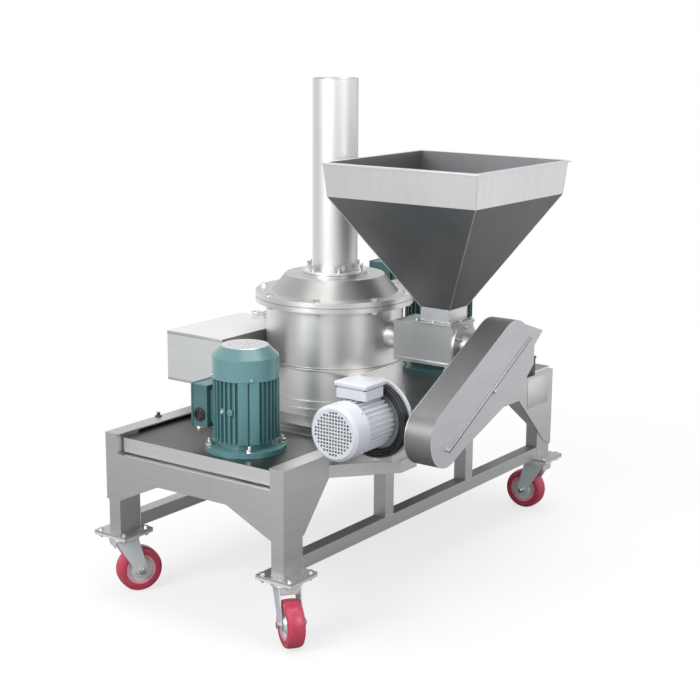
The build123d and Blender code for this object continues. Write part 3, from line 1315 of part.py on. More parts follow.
def caster_fork():
    """Swivel pin, top cap, two cheeks and the wheel's axle, trailing along X."""
    cap_top = CASTER_PLATE_BOTTOM - SEAT_GAP
    cap_bottom = cap_top - FORK_TOP_THICKNESS
    inner = CASTER_WHEEL_HUB_WIDTH / 2 + FORK_SIDE_GAP
    outer = inner + FORK_SHEET
    fork = rod_z(0, 0, (cap_bottom, cap_top), FORK_TOP_RADIUS)
    fork += rod_z(0, 0, (cap_top, CASTER_PLATE_TOP - FORK_PIN_SINK), CASTER_PIN_RADIUS)
    fork += plate_facing_z(Rectangle(FORK_YOKE_LENGTH, 2 * outer), (cap_bottom - FORK_SHEET, cap_bottom))
    cheek_outline = make_hull(
        (
            Pos(CASTER_TRAIL, WHEEL_TYRE_RADIUS) * Circle(FORK_FOOT_RADIUS)
            + Pos(0, cap_bottom - FORK_SHEET / 2) * Rectangle(FORK_YOKE_LENGTH, FORK_SHEET)
        ).edges()
    )
    for y_span in ((-outer, -inner), (inner, outer)):
        fork += plate_facing_y(cheek_outline, y_span)
    axle_end = outer + AXLE_OVERHANG
    return fork + rod_y(CASTER_TRAIL, (-axle_end, axle_end), WHEEL_TYRE_RADIUS, CASTER_AXLE_RADIUS)


def caster_wheel():
    """Solid tyre on a hub that runs on the fork's axle."""
    half = WHEEL_TYRE_WIDTH / 2
    hub_half = CASTER_WHEEL_HUB_WIDTH / 2
    tyre = rod_y(CASTER_TRAIL, (-half, half), WHEEL_TYRE_RADIUS, WHEEL_TYRE_RADIUS)
    tyre = fillet(tyre.edges().filter_by(GeomType.CIRCLE), WHEEL_TYRE_ROUNDING)
    tyre += rod_y(CASTER_TRAIL, (-hub_half, hub_half), WHEEL_TYRE_RADIUS, CASTER_WHEEL_HUB_RADIUS)
    bore = CASTER_AXLE_RADIUS + RUNNING_FIT
    return tyre - rod_y(CASTER_TRAIL, (-hub_half, hub_half), WHEEL_TYRE_RADIUS, bore)


def caster_parts():
    parts = {}
    for name, (side_x, side_y, angle) in CASTERS.items():
        place = Pos(side_x * CASTER_X, side_y * CASTER_Y, 0) * Rot(0, 0, angle)
        parts["caster_fork_" + name] = place * caster_fork()
        parts["caster_wheel_" + name] = place * caster_wheel()
    return parts


def all_parts():
    parts = {
        "side_apron_left": side_apron(-1),
        "side_apron_right": side_apron(1),
        "front_apron": front_apron(),
        "rear_apron": rear_apron(),
        "legs": legs(),
        "lower_rails": lower_rails(),
        "mill_deck": mill_deck(),
        "deck_supports": deck_supports(),
        "motor_slide_plate": motor_slide_plate(),
        "drive_bracket": drive_bracket(),
        "lower_casing": lower_casing(),
        "upper_casing": upper_casing(),
        "mill_lid": mill_lid(),
        "lid_bolts": lid_bolts(),
        "outlet_pipe": outlet_pipe(),
        "pipe_clamps": pipe_clamps(),
        "air_inlet_duct": air_inlet_duct(),
        "toothed_liner": toothed_liner(),
        "spindle_housing": spindle_housing(),
        "spindle_bearings": spindle_bearings(),
        "rotor_shaft": rotor_shaft(),
        "inner_bearings": inner_bearings(),
        "rotor_disc": rotor_disc(),
        "rotor_hammers": rotor_hammers(),
        "classifier_shaft": classifier_shaft(),
        "classifier_wheel": classifier_wheel(),
        "rotor_belt": rotor_belt(),
        "classifier_belt": classifier_belt(),
        "hopper": hopper(),
        "feeder_box": feeder_box(),
        "feed_screw": feed_screw(),
        "feeder_bearing_housing": feeder_bearing_housing(),
        "feeder_pulley": feeder_pulley(),
        "feeder_belt": feeder_belt(),
        "guard_back": guard_back(),
        "guard_cover": guard_cover(),
        "gearbox_housing": gearbox_housing(),
        "output_shaft": output_shaft(),
        "gear_motor_housing": gear_motor_housing(),
        "gear_motor_fan_cover": gear_motor_fan_cover(),
        "gear_motor_terminal_box": gear_motor_terminal_box(),
        "worm_shaft": worm_shaft(),
        "cable_coil": cable_coil(),
        "caster_plates": caster_plates(),
    }
    parts.update(front_motor_parts())
    parts.update(rear_motor_parts())
    parts.update(caster_parts())
    return parts


os.makedirs("parts", exist_ok=True)
for node, shape in all_parts().items():
    solids = shape if isinstance(shape, list) else [shape]
    placed = [Pos(-PLAN_CENTRE_X, 0, 0) * solid for solid in solids]
    export_step(Compound(children=placed) if len(placed) > 1 else placed[0], "parts/" + node + ".step")
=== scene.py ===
import json
from math import cos, pi, radians, sin

import bmesh
import bpy
from mathutils import Matrix, Vector


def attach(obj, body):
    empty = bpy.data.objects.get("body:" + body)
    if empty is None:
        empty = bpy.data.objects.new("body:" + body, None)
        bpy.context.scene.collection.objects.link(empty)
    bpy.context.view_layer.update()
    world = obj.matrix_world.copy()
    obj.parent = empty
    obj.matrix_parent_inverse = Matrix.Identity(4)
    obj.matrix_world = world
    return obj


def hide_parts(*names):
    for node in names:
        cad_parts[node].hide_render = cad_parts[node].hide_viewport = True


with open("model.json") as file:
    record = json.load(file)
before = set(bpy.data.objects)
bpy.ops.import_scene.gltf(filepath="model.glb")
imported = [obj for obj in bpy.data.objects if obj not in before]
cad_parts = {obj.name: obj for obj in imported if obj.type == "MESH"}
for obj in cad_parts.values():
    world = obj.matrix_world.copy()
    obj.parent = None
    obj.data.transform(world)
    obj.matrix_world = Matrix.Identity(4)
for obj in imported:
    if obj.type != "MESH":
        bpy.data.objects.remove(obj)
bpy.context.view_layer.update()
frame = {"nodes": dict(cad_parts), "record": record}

# Camera, matched to the photograph

PHOTO_SIZE = 700.0
FOCAL_PIXELS = 1496.0
SENSOR_WIDTH = 36.0
CAMERA_PLACE = (2.4085, -3.524, 1.586)
CAMERA_AZIMUTH = radians(35.639)
CAMERA_PITCH = radians(12.615)
CAMERA_ROLL = radians(0.371)


def add_camera():
    """Camera that sees what the photograph shows."""
    camera = bpy.data.cameras.new("photo_camera")
    camera.sensor_width = SENSOR_WIDTH
    camera.lens = FOCAL_PIXELS / PHOTO_SIZE * SENSOR_WIDTH
    level = Vector((cos(CAMERA_AZIMUTH), sin(CAMERA_AZIMUTH), 0))
    ahead = Vector((
        -sin(CAMERA_AZIMUTH) * cos(CAMERA_PITCH),
        cos(CAMERA_AZIMUTH) * cos(CAMERA_PITCH),
        -sin(CAMERA_PITCH),
    ))
    above = level.cross(ahead)
    right = level * cos(CAMERA_ROLL) + above * sin(CAMERA_ROLL)
    up = above * cos(CAMERA_ROLL) - level * sin(CAMERA_ROLL)
    holder = bpy.data.objects.new("photo_camera", camera)
    turned = Matrix((right, up, -ahead)).transposed()
    holder.matrix_world = Matrix.Translation(CAMERA_PLACE) @ turned.to_4x4()
    bpy.context.scene.collection.objects.link(holder)
    bpy.context.scene.camera = holder


# Shader building blocks


def link(tree, source, target):
    tree.links.new(source, target)


def node(tree, kind, inputs=None, **settings):
    """A new shader node; inputs gives a value or another node's output for each input it names."""
    made = tree.nodes.new("ShaderNode" + kind)
    for name, value in settings.items():
        setattr(made, name, value)
    for name, value in (inputs or {}).items():
        if isinstance(value, bpy.types.NodeSocket):
            link(tree, value, made.inputs[name])
        else:
            made.inputs[name].default_value = value
    return made


def maths(tree, operation, *operands, clamp=False):
    """A Math node; each operand is a socket or a number."""
    return node(tree, "Math", dict(enumerate(operands)), operation=operation, use_clamp=clamp).outputs[0]


def times(tree, first, second):
    return maths(tree, "MULTIPLY", first, second)


def vector_maths(tree, operation, output, *operands):
    return node(tree, "VectorMath", dict(enumerate(operands)), operation=operation).outputs[output]


def mix_colour(tree, factor, first, second, blend="MIX"):
    inputs = {0: factor, 6: first, 7: second}
    return node(tree, "Mix", inputs, data_type="RGBA", blend_type=blend).outputs[2]


def object_place(tree):
    return node(tree, "TexCoord").outputs["Object"]


def noise(tree, place, scale, detail, roughness=0.5, distortion=0.0):
    inputs = {"Vector": place, "Scale": scale, "Detail": detail}
    inputs.update({"Roughness": roughness, "Distortion": distortion})
    return node(tree, "TexNoise", inputs).outputs[0]


def ranged(tree, value, low, high, start=0.0, end=1.0, kind="LINEAR"):
    """Spread a value that runs from start to end over low to high."""
    inputs = {"Value": value, "From Min": start, "From Max": end, "To Min": low, "To Max": high}
    return node(tree, "MapRange", inputs, interpolation_type=kind).outputs[0]


def bumped(tree, height, distance, normal):
    return node(tree, "Bump", {"Distance": distance, "Height": height, "Normal": normal}).outputs[0]


def rgb(red, green, blue):
    return (red, green, blue, 1.0)


def new_group(name, inputs, outputs):
    group = bpy.data.node_groups.new(name, "ShaderNodeTree")
    for label, kind, value in inputs:
        socket = group.interface.new_socket(name=label, in_out="INPUT", socket_type="NodeSocket" + kind)
        socket.default_value = value
    for label, kind in outputs:
        group.interface.new_socket(name=label, in_out="OUTPUT", socket_type="NodeSocket" + kind)
    return group, group.nodes.new("NodeGroupInput"), group.nodes.new("NodeGroupOutput")


def brushing_group():
    """Fine lines left by a belt or flap wheel; the stretch gives their direction."""
    group, given, result = new_group(
        "brushing",
        (("Stretch", "Vector", (4.0, 4.0, 400.0)),),
        (("Grain", "Float"), ("Bands", "Float")),
    )
    stretched = vector_maths(group, "MULTIPLY", "Vector", object_place(group), given.outputs["Stretch"])
    link(group, noise(group, stretched, 1.0, 5.0, 0.65), result.inputs["Grain"])
    link(group, noise(group, stretched, 0.12, 2.0), result.inputs["Bands"])
    return group


def smudge_group():
    """Broad cloudy marks from handling and wiping."""
    group, given, result = new_group("smudges", (("Scale", "Float", 9.0),), (("Mask", "Float"),))
    clouds = noise(group, object_place(group), given.outputs["Scale"], 6.0, 0.6, 0.6)
    link(group, ranged(group, clouds, 0.0, 1.0, 0.35, 0.7), result.inputs["Mask"])
    return group


def edge_group():
    """Slightly rounded edges and the mask of where they are rubbed bare."""
    group, given, result = new_group(
        "edges",
        (("Radius", "Float", 0.001), ("Patchiness", "Float", 60.0)),
        (("Mask", "Float"), ("Normal", "Vector")),
    )
    rounded = node(group, "Bevel", {"Radius": given.outputs["Radius"]}, samples=4).outputs[0]
    flat = node(group, "NewGeometry").outputs["Normal"]
    turned = maths(group, "SUBTRACT", 1.0, vector_maths(group, "DOT_PRODUCT", "Value", rounded, flat))
    patches = noise(group, object_place(group), given.outputs["Patchiness"], 5.0)
    worn = times(group, turned, times(group, patches, 12.0))
    link(group, maths(group, "MINIMUM", worn, 1.0), result.inputs["Mask"])
    link(group, rounded, result.inputs["Normal"])
    return group


BRUSHING = brushing_group()
SMUDGES = smudge_group()
EDGES = edge_group()


def use(tree, group, **values):
    return node(tree, "Group", values, node_tree=group)


def new_material(name):
    material = bpy.data.materials.new(name)
    material.use_nodes = True
    tree = material.node_tree
    return material, tree, tree.nodes["Principled BSDF"]


def dressed(material, colour, roughness, normal):
    """Link a colour, roughness and normal to a material's shader."""
    tree = material.node_tree
    for label, source in (("Base Color", colour), ("Roughness", roughness), ("Normal", normal)):
        link(tree, source, tree.nodes["Principled BSDF"].inputs[label])
    return material


# The three kinds of material, with sizes in metres

EDGE_RADIUS = 0.0008
LINE_DEPTH = 0.000006
NEARLY_UPRIGHT = (0.03, 0.02, 1.0)
RUBBED_BRIGHT = rgb(0.86, 0.86, 0.86)
PAINT_EDGE_RADIUS = 0.0012
DUST_TONE = 0.42
DUST_SHARE = 0.25
PEEL_SCALE = 420.0
PEEL_DEPTH = 0.00008
CLOUD_PALER = 0.08
GRAIN_SCALE = 900.0
GRAIN_DEPTH = 0.00006


def steel(name, dark, bright, roughness, stretch, drawn=0.0, metallic=1.0):
    """Metal with brushed lines, bands of tone, smudges and rubbed edges; drawn pulls highlights upright."""
    material, tree, shader = new_material(name)
    shader.inputs["Metallic"].default_value = metallic
    shader.inputs["Anisotropic"].default_value = drawn
    if drawn:
        upright = node(tree, "CombineXYZ", dict(enumerate(NEARLY_UPRIGHT)))
        link(tree, upright.outputs[0], shader.inputs["Tangent"])
    lines = use(tree, BRUSHING, Stretch=stretch)
    grain = lines.outputs["Grain"]
    smudges = use(tree, SMUDGES, Scale=6.0).outputs[0]
    edges = use(tree, EDGES, Radius=EDGE_RADIUS)
    tone = times(tree, maths(tree, "ADD", grain, lines.outputs["Bands"]), 0.5)
    colour = mix_colour(tree, ranged(tree, tone, -0.2, 1.2), dark, bright)
    colour = mix_colour(tree, times(tree, smudges, 0.2), colour, dark)
    colour = mix_colour(tree, times(tree, edges.outputs["Mask"], 0.6), colour, RUBBED_BRIGHT)
    rough = times(tree, ranged(tree, grain, 0.9, 1.1), roughness)
    rough = maths(tree, "ADD", rough, times(tree, smudges, 0.05), clamp=True)
    return dressed(material, colour, rough, bumped(tree, grain, LINE_DEPTH, edges.outputs["Normal"]))


def enamel(name, body, worn, roughness, coat):
    """Sprayed enamel with orange peel, cloudy patches of dust and chips along its edges."""
    material, tree, shader = new_material(name)
    shader.inputs["Coat Weight"].default_value = coat
    shader.inputs["Coat Roughness"].default_value = 0.2
    smudges = use(tree, SMUDGES, Scale=14.0).outputs[0]
    edges = use(tree, EDGES, Radius=PAINT_EDGE_RADIUS, Patchiness=140.0)
    dusty = rgb(*((1 - DUST_SHARE) * channel + DUST_SHARE * DUST_TONE for channel in body[:3]))
    colour = mix_colour(tree, times(tree, smudges, 0.3), body, dusty)
    colour = mix_colour(tree, times(tree, edges.outputs["Mask"], 0.7), colour, worn)
    peel = noise(tree, object_place(tree), PEEL_SCALE, 2.0)
    rough = ranged(tree, smudges, roughness, roughness + 0.15)
    return dressed(material, colour, rough, bumped(tree, peel, PEEL_DEPTH, edges.outputs["Normal"]))


def moulded(name, body, roughness):
    """Rubber or plastic with a fine moulded grain and slight cloudiness."""
    material, tree, _ = new_material(name)
    smudges = use(tree, SMUDGES, Scale=22.0).outputs[0]
    edges = use(tree, EDGES, Radius=EDGE_RADIUS, Patchiness=90.0)
    pale = rgb(*(min(1.0, channel + CLOUD_PALER) for channel in body[:3]))
    colour = mix_colour(tree, times(tree, smudges, 0.5), body, pale)
    grain = noise(tree, object_place(tree), GRAIN_SCALE, 3.0)
    rough = ranged(tree, grain, roughness - 0.08, roughness + 0.12)
    return dressed(material, colour, rough, bumped(tree, grain, GRAIN_DEPTH, edges.outputs["Normal"]))


ROUND_BRUSH = (5.0, 5.0, 520.0)
UPRIGHT_BRUSH = (420.0, 420.0, 5.0)
LEVEL_BRUSH = (6.0, 6.0, 480.0)
SLOPE_BRUSH = (300.0, 40.0, 300.0)


def even_grain(fineness):
    return (fineness, fineness, fineness)


VESSEL_DARK = rgb(0.66, 0.655, 0.645)
VESSEL_BRIGHT = rgb(0.8, 0.795, 0.785)
TEAL = rgb(0.075, 0.225, 0.242)
TEAL_WORN = rgb(0.3, 0.4, 0.4)
DARK_TEAL = rgb(0.028, 0.1, 0.104)
DARK_TEAL_WORN = rgb(0.2, 0.27, 0.27)

# Steels by dark tone, bright tone, roughness, brushing, and for some how drawn and how metallic they are

STEELS = {
    "frame_steel": (rgb(0.52, 0.518, 0.52), rgb(0.69, 0.688, 0.69), 0.38, LEVEL_BRUSH),
    "vessel_steel": (VESSEL_DARK, VESSEL_BRIGHT, 0.35, ROUND_BRUSH, 0.6),
    "fastener_steel": (rgb(0.55, 0.55, 0.55), rgb(0.78, 0.78, 0.78), 0.2, even_grain(90.0)),
    "hopper_steel": (rgb(0.56, 0.56, 0.565), rgb(0.66, 0.66, 0.665), 0.38, UPRIGHT_BRUSH),
    "shaft_steel": (rgb(0.42, 0.42, 0.43), rgb(0.6, 0.6, 0.62), 0.25, even_grain(300.0)),
    "tool_steel": (rgb(0.3, 0.3, 0.31), rgb(0.48, 0.48, 0.49), 0.35, ROUND_BRUSH),
    "cast_iron": (rgb(0.14, 0.14, 0.145), rgb(0.24, 0.24, 0.25), 0.55, even_grain(120.0)),
    "zinc_plate": (rgb(0.7, 0.755, 0.77), rgb(0.84, 0.89, 0.9), 0.38, even_grain(60.0), 0.0, 0.45),
    "gearbox_aluminium": (rgb(0.42, 0.43, 0.45), rgb(0.6, 0.61, 0.63), 0.5, even_grain(220.0)),
    "guard_sheet": (rgb(0.50, 0.49, 0.51), rgb(0.62, 0.61, 0.635), 0.36, SLOPE_BRUSH),
    "weld_metal": (rgb(0.46, 0.45, 0.43), rgb(0.68, 0.67, 0.65), 0.3, even_grain(160.0)),
    "plate_metal": (rgb(0.58, 0.58, 0.59), rgb(0.74, 0.74, 0.75), 0.28, LEVEL_BRUSH),
    # Lid steel: its sloping faces get painted shade in paint_shade_on_finishes
    "lid_steel": (VESSEL_DARK, VESSEL_BRIGHT, 0.38, ROUND_BRUSH, 0.4),
    # Lower casing: paler than the vessel steel, painted light for a brighter reflection
    "lower_casing_steel": (rgb(0.8, 0.795, 0.785), rgb(0.93, 0.925, 0.915), 0.4, ROUND_BRUSH, 0.5, 0.85),
    "pipe_steel": (rgb(0.7, 0.7, 0.7), rgb(0.82, 0.82, 0.82), 0.5, UPRIGHT_BRUSH),
    # Hopper sheet: paler than the hopper steel, painted light on the skirt; its cone and inside get painted
    # shade
    "hopper_sheet": (rgb(0.66, 0.665, 0.675), rgb(0.8, 0.805, 0.815), 0.36, UPRIGHT_BRUSH),
    # Guard cover sheet: its sides, away from +X, get painted shade
    "guard_cover_sheet": (rgb(0.5, 0.5, 0.525), rgb(0.64, 0.64, 0.67), 0.45, SLOPE_BRUSH, 0.0, 0.75),
    # Duct sheet: near white as painted light for its lit top; its front and right faces get painted shade
    "duct_sheet": (rgb(0.84, 0.84, 0.84), rgb(0.95, 0.95, 0.95), 0.4, LEVEL_BRUSH, 0.0, 0.85),
    # Slide plate and deck: pale as painted light for their upright lips; their level tops get painted shade
    "slide_plate_sheet": (rgb(0.7, 0.7, 0.7), rgb(0.88, 0.88, 0.88), 0.33, LEVEL_BRUSH),
    "deck_sheet": (rgb(0.7, 0.7, 0.7), rgb(0.88, 0.88, 0.88), 0.33, LEVEL_BRUSH),
}

# Paints by body, worn tone, roughness and clear coat

PAINTS = {
    "teal_paint": (TEAL, TEAL_WORN, 0.3, 0.6),
    "dark_teal_paint": (DARK_TEAL, DARK_TEAL_WORN, 0.34, 0.4),
    # A darker copy of the teal paint, painted shade for the front motor's terminal box
    "box_teal_paint": (rgb(0.045, 0.145, 0.155), TEAL_WORN, 0.32, 0.5),
    "pale_grey_paint": (rgb(0.66, 0.695, 0.74), rgb(0.8, 0.82, 0.84), 0.3, 0.5),
    "front_fan_cover": (rgb(0.115, 0.27, 0.29), TEAL_WORN, 0.3, 0.5),
    "rear_fan_cover": (DARK_TEAL, DARK_TEAL_WORN, 0.3, 0.5),
}

# Rubbers and plastics by body and roughness

PLASTICS = {
    "belt_rubber": (rgb(0.02, 0.02, 0.021), 0.7),
    "cable_black": (rgb(0.014, 0.014, 0.016), 0.42),
    "wheel_red": (rgb(0.53, 0.04, 0.09), 0.26),
    "wheel_ring": (rgb(0.72, 0.38, 0.44), 0.4),
    "gasket_black": (rgb(0.03, 0.03, 0.03), 0.6),
    "box_plastic": (rgb(0.022, 0.022, 0.024), 0.4),
}

MATERIALS = {
    name: kind(name, *look)
    for kind, looks in ((steel, STEELS), (enamel, PAINTS), (moulded, PLASTICS))
    for name, look in looks.items()
}

# CAD nodes whose finish isn't that of their slot

OWN_FINISHES = {
    "mill_lid": "lid_steel",
    "lower_casing": "lower_casing_steel",
    "outlet_pipe": "pipe_steel",
    "hopper": "hopper_sheet",
    "guard_cover": "guard_cover_sheet",
    "air_inlet_duct": "duct_sheet",
    # painted shade: the terminal box takes the darker copy of the teal paint
    "classifier_motor_terminal_box": "box_teal_paint",
    "motor_slide_plate": "slide_plate_sheet",
    "mill_deck": "deck_sheet",
    "classifier_motor_fan_cover": "front_fan_cover",
    "rotor_motor_fan_cover": "rear_fan_cover",
}

# Painted shade laid on a finish where the surface faces past a limit along X, Y or Z, given as 0, 1 or 2:
# the guard cover's sides, the duct's front and right faces, and the level tops of the slide plate and deck
# are darkened

PAINTED_SHADES = (
    ("guard_cover_sheet", 0, "LESS_THAN", 0.9, rgb(0.44, 0.43, 0.415)),
    ("duct_sheet", 1, "LESS_THAN", -0.5, rgb(0.86, 0.88, 0.88)),
    ("duct_sheet", 0, "GREATER_THAN", 0.5, rgb(0.32, 0.32, 0.31)),
    ("slide_plate_sheet", 2, "GREATER_THAN", 0.7, rgb(0.19, 0.187, 0.18)),
    ("deck_sheet", 2, "GREATER_THAN", 0.7, rgb(0.42, 0.42, 0.42)),
)
HOPPER_MIDDLE = (0.2515, -0.07, 1.0)

# Bare grille discs of the fan covers, by middle and radius in metres

GRILLES = {
    "front_fan_cover": ((-0.0555, -0.561), 0.0632),
    "rear_fan_cover": ((-0.1035, 0.465), 0.0812),
}


def facing(tree, axis):
    """How far the surface faces along X, Y or Z, given as 0, 1 or 2."""
    return node(tree, "SeparateXYZ", {0: node(tree, "NewGeometry").outputs["True Normal"]}).outputs[axis]


def sloping(tree):
    """1 where the surface leans up and isn't level."""
    height = facing(tree, 2)
    return times(tree, maths(tree, "GREATER_THAN", height, 0.3), maths(tree, "LESS_THAN", height, 0.95))


def tint(material, mask, shade, blend="MULTIPLY"):
    """Lay a shade on a material's colour where the mask is 1."""
    tree = material.node_tree
    target = tree.nodes["Principled BSDF"].inputs["Base Color"]
    link(tree, mix_colour(tree, mask, target.links[0].from_socket, shade, blend), target)


def bare_grille_and_painted_shade(material, centre, face_radius):
    """Bright steel disc on an enamelled fan cover, and painted shade on the cover's sloping shoulder."""
    tree = material.node_tree
    place = node(tree, "SeparateXYZ", {0: object_place(tree)})
    squares = []
    for axis in (0, 1):
        off = maths(tree, "SUBTRACT", place.outputs[axis], centre[axis])
        squares.append(maths(tree, "POWER", off, 2.0))
    bare = maths(tree, "LESS_THAN", maths(tree, "ADD", *squares), face_radius**2)
    tint(material, bare, rgb(0.78, 0.79, 0.8), "MIX")
    link(tree, times(tree, bare, 0.9), tree.nodes["Principled BSDF"].inputs["Metallic"])
    # painted shade: the sloping shoulder is darkened
    tint(material, sloping(tree), rgb(0.8, 0.76, 0.75))


def paint_shade_on_hopper(material):
    """Paint shade on the hopper: its skirt and rim stay bright, its sloping cone and its inside are
    darkened, and the cone's faces towards +X more so.
    """
    tree = material.node_tree
    cone = maths(tree, "LESS_THAN", facing(tree, 2), -0.3)
    off_middle = vector_maths(tree, "SUBTRACT", "Vector", object_place(tree), HOPPER_MIDDLE)
    flat = node(tree, "NewGeometry").outputs["True Normal"]
    inside = maths(tree, "LESS_THAN", vector_maths(tree, "DOT_PRODUCT", "Value", off_middle, flat), 0.0)
    tint(material, maths(tree, "MAXIMUM", cone, inside), rgb(0.37, 0.37, 0.38))
    sideways = maths(tree, "GREATER_THAN", facing(tree, 0), 0.3)
    tint(material, times(tree, cone, sideways), rgb(0.54, 0.54, 0.54))


# Lays painted shade on the finishes of single nodes by the way each surface faces, and gives the fan covers
# their bare grille discs
def paint_shade_on_finishes():
    for name, axis, comparison, limit, shade in PAINTED_SHADES:
        tree = MATERIALS[name].node_tree
        tint(MATERIALS[name], maths(tree, comparison, facing(tree, axis), limit), shade)
    for name, grille in GRILLES.items():
        bare_grille_and_painted_shade(MATERIALS[name], *grille)
    # painted shade: the lid's sloping faces are darkened
    lid = MATERIALS["lid_steel"]
    tint(lid, sloping(lid.node_tree), rgb(0.66, 0.66, 0.655))
    paint_shade_on_hopper(MATERIALS["hopper_sheet"])


def dress_cad_nodes():
    """Give each CAD node its own finish, or else the material of its slot."""
    slots = {part["node"]: part["material_slot"] for part in frame["record"]["subparts"]}
    for name, piece in frame["nodes"].items():
        piece.data.materials.clear()
        piece.data.materials.append(MATERIALS[OWN_FINISHES.get(name, slots[name])])


# Making new pieces, drawn in the frame's millimetres

MM = 0.001
CENTRE_X = 123.5
TO_FRAME = Matrix.Scale(MM, 4) @ Matrix.Translation((-CENTRE_X, 0, 0))
SHARP_ANGLE = radians(35)
TINY = 1e-6
WELD_GAP = 1e-4
X = Vector((1, 0, 0))
Y = Vector((0, 1, 0))
Z = Vector((0, 0, 1))


def turn_to(origin, axis, spin=0.0):
    """Matrix that stands a shape drawn along Z on a point, along an axis."""
    turned = Vector(axis).to_track_quat("Z", "Y").to_matrix().to_4x4()
    return Matrix.Translation(origin) @ turned @ Matrix.Rotation(spin, 4, "Z")


def outwards(angle, first=X, second=Y):
    """Unit vector at an angle in degrees, from the first axis towards the second."""
    return first * cos(radians(angle)) + second * sin(radians(angle))


def circle(radius, steps):
    """Points (x, y) spaced evenly round a circle."""
    angles = [2 * pi * step / steps for step in range(steps)]
    return [(radius * cos(angle), radius * sin(angle)) for angle in angles]


def sides(corners):
    """Each corner with the next, round to the first."""
    return zip(corners, corners[1:] + corners[:1])


def grown(span, margin):
    return (span[0] - margin, span[1] + margin)


def mirrored(half):
    """A profile and its reflection across its middle, for shapes with two like sides."""
    return half + [(radius, -height) for radius, height in reversed(half)]


def finish_piece(name, mesh, material, body="frame", bevel=0.0, steps=2, stands_for=()):
    """Turn a mesh in millimetres into a shown piece that rides on a body of the frame."""
    if bevel:
        sharp = [edge for edge in mesh.edges if edge.is_manifold and edge.calc_face_angle(0) > SHARP_ANGLE]
        bmesh.ops.bevel(
            mesh, geom=sharp, offset=bevel, segments=steps, profile=0.5, affect="EDGES", material=-1
        )
    bmesh.ops.transform(mesh, matrix=TO_FRAME, verts=mesh.verts)
    bmesh.ops.recalc_face_normals(mesh, faces=mesh.faces)
    data = bpy.data.meshes.new(name)
    mesh.to_mesh(data)
    mesh.free()
    for face in data.polygons:
        face.use_smooth = True
    data.set_sharp_from_angle(angle=SHARP_ANGLE)
    data.materials.append(MATERIALS[material])
    piece = bpy.data.objects.new(name, data)
    bpy.context.scene.collection.objects.link(piece)
    if stands_for:
        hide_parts(*stands_for)
    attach(piece, body)


def add_box(mesh, x_span, y_span, z_span, matrix=Matrix()):
    middle = [(low + high) / 2 for low, high in (x_span, y_span, z_span)]
    size = [high - low for low, high in (x_span, y_span, z_span)]
    placed = Matrix.Translation(middle) @ Matrix.Diagonal((*size, 1))
    bmesh.ops.create_cube(mesh, size=1.0, matrix=matrix @ placed)


def box_piece(name, x_span, y_span, z_span, material, **finish):
    mesh = bmesh.new()
    add_box(mesh, x_span, y_span, z_span)
    finish_piece(name, mesh, material, **finish)


def join_rings(mesh, rings, steps, closed):
    """Faces between rings that follow each other, where a ring may also be a single point."""
    pairs = list(zip(rings, rings[1:]))
    if closed:
        pairs.append((rings[-1], rings[0]))
    for low, high in pairs:
        for step in range(steps):
            corners = []
            for ring, place in ((low, step), (low, step + 1), (high, step + 1), (high, step)):
                corner = ring[place % len(ring)]
                if corner not in corners:
                    corners.append(corner)
            if len(corners) > 2:
                mesh.faces.new(corners)


def add_turned(mesh, profile, matrix, steps, closed=False):
    """Turn (radius, height) points about Z; closed joins the last point to the first."""
    rings = []
    for radius, height in profile:
        round_axis = [(0, 0)] if radius < TINY else circle(radius, steps)
        rings.append([mesh.verts.new(matrix @ Vector((x, y, height))) for x, y in round_axis])
    join_rings(mesh, rings, steps, closed)


def turned_piece(name, profile, matrix, steps, material, closed=True, **finish):
    mesh = bmesh.new()
    add_turned(mesh, profile, matrix, steps, closed)
    finish_piece(name, mesh, material, **finish)


def add_rod(mesh, start, end, radius, steps, chamfer=0.0):
    start, end = Vector(start), Vector(end)
    length = (end - start).length
    profile = [(0, 0), (radius, 0), (radius, length), (0, length)]
    if chamfer:
        inner = radius - chamfer
        profile[1:3] = [(inner, 0), (radius, chamfer), (radius, length - chamfer), (inner, length)]
    add_turned(mesh, profile, turn_to(start, end - start), steps)


def add_tube(mesh, points, radii, steps=8, joined=False):
    """A bar along a chain of points, with two radii by turns and capped ends unless it is joined up."""
    points = [Vector(point) for point in points]
    count = len(points)
    rings = []
    side = None
    for index, point in enumerate(points):
        before = points[index - 1] if index or joined else point
        after = points[(index + 1) % count] if index < count - 1 or joined else point
        ahead = (after - before).normalized()
        if side is None:
            side = ahead.orthogonal().normalized()
        side = (side - ahead * side.dot(ahead)).normalized()
        other = ahead.cross(side)
        outline = circle(radii[index % 2], steps)
        rings.append([mesh.verts.new(point + side * x + other * y) for x, y in outline])
    join_rings(mesh, rings, steps, joined)
    if not joined:
        mesh.faces.new(rings[0])
        mesh.faces.new(rings[-1])


BEAD_PITCH = 2.2
BEAD_HOLLOW = 0.82


def add_bead(mesh, start, end, radius=1.6):
    """Weld bead with its ripples between two points."""
    start, end = Vector(start), Vector(end)
    count = max(4, int((end - start).length / BEAD_PITCH) * 2)
    points = [start.lerp(end, index / count) for index in range(count + 1)]
    add_tube(mesh, points, (radius * BEAD_HOLLOW, radius))


def add_round_bead(mesh, centre, axis, ring_radius, radius):
    count = max(24, int(2 * pi * ring_radius / BEAD_PITCH)) * 2
    matrix = turn_to(centre, axis)
    points = [matrix @ Vector((x, y, 0)) for x, y in circle(ring_radius, count)]
    add_tube(mesh, points, (radius * BEAD_HOLLOW, radius), joined=True)


def add_hexagon(mesh, matrix, across, height):
    """A hexagon head or nut with its corners turned off."""
    corner = across / 2 / cos(pi / 6)
    profile = [(0, 0), (corner, 0), (corner, height * 0.86), (across / 2 * 0.93, height), (0, height)]
    add_turned(mesh, profile, matrix, 6)


# Measures of a bolt, by its size

WASHER_THICK = 0.16
WASHER_REACH = 1.04
HEAD_ACROSS = 1.65
HEAD_HEIGHT = 0.62
THREAD_PITCH = 0.12
THREAD_CREST = 0.5
THREAD_ROOT = 0.44
STUD_END = 0.4


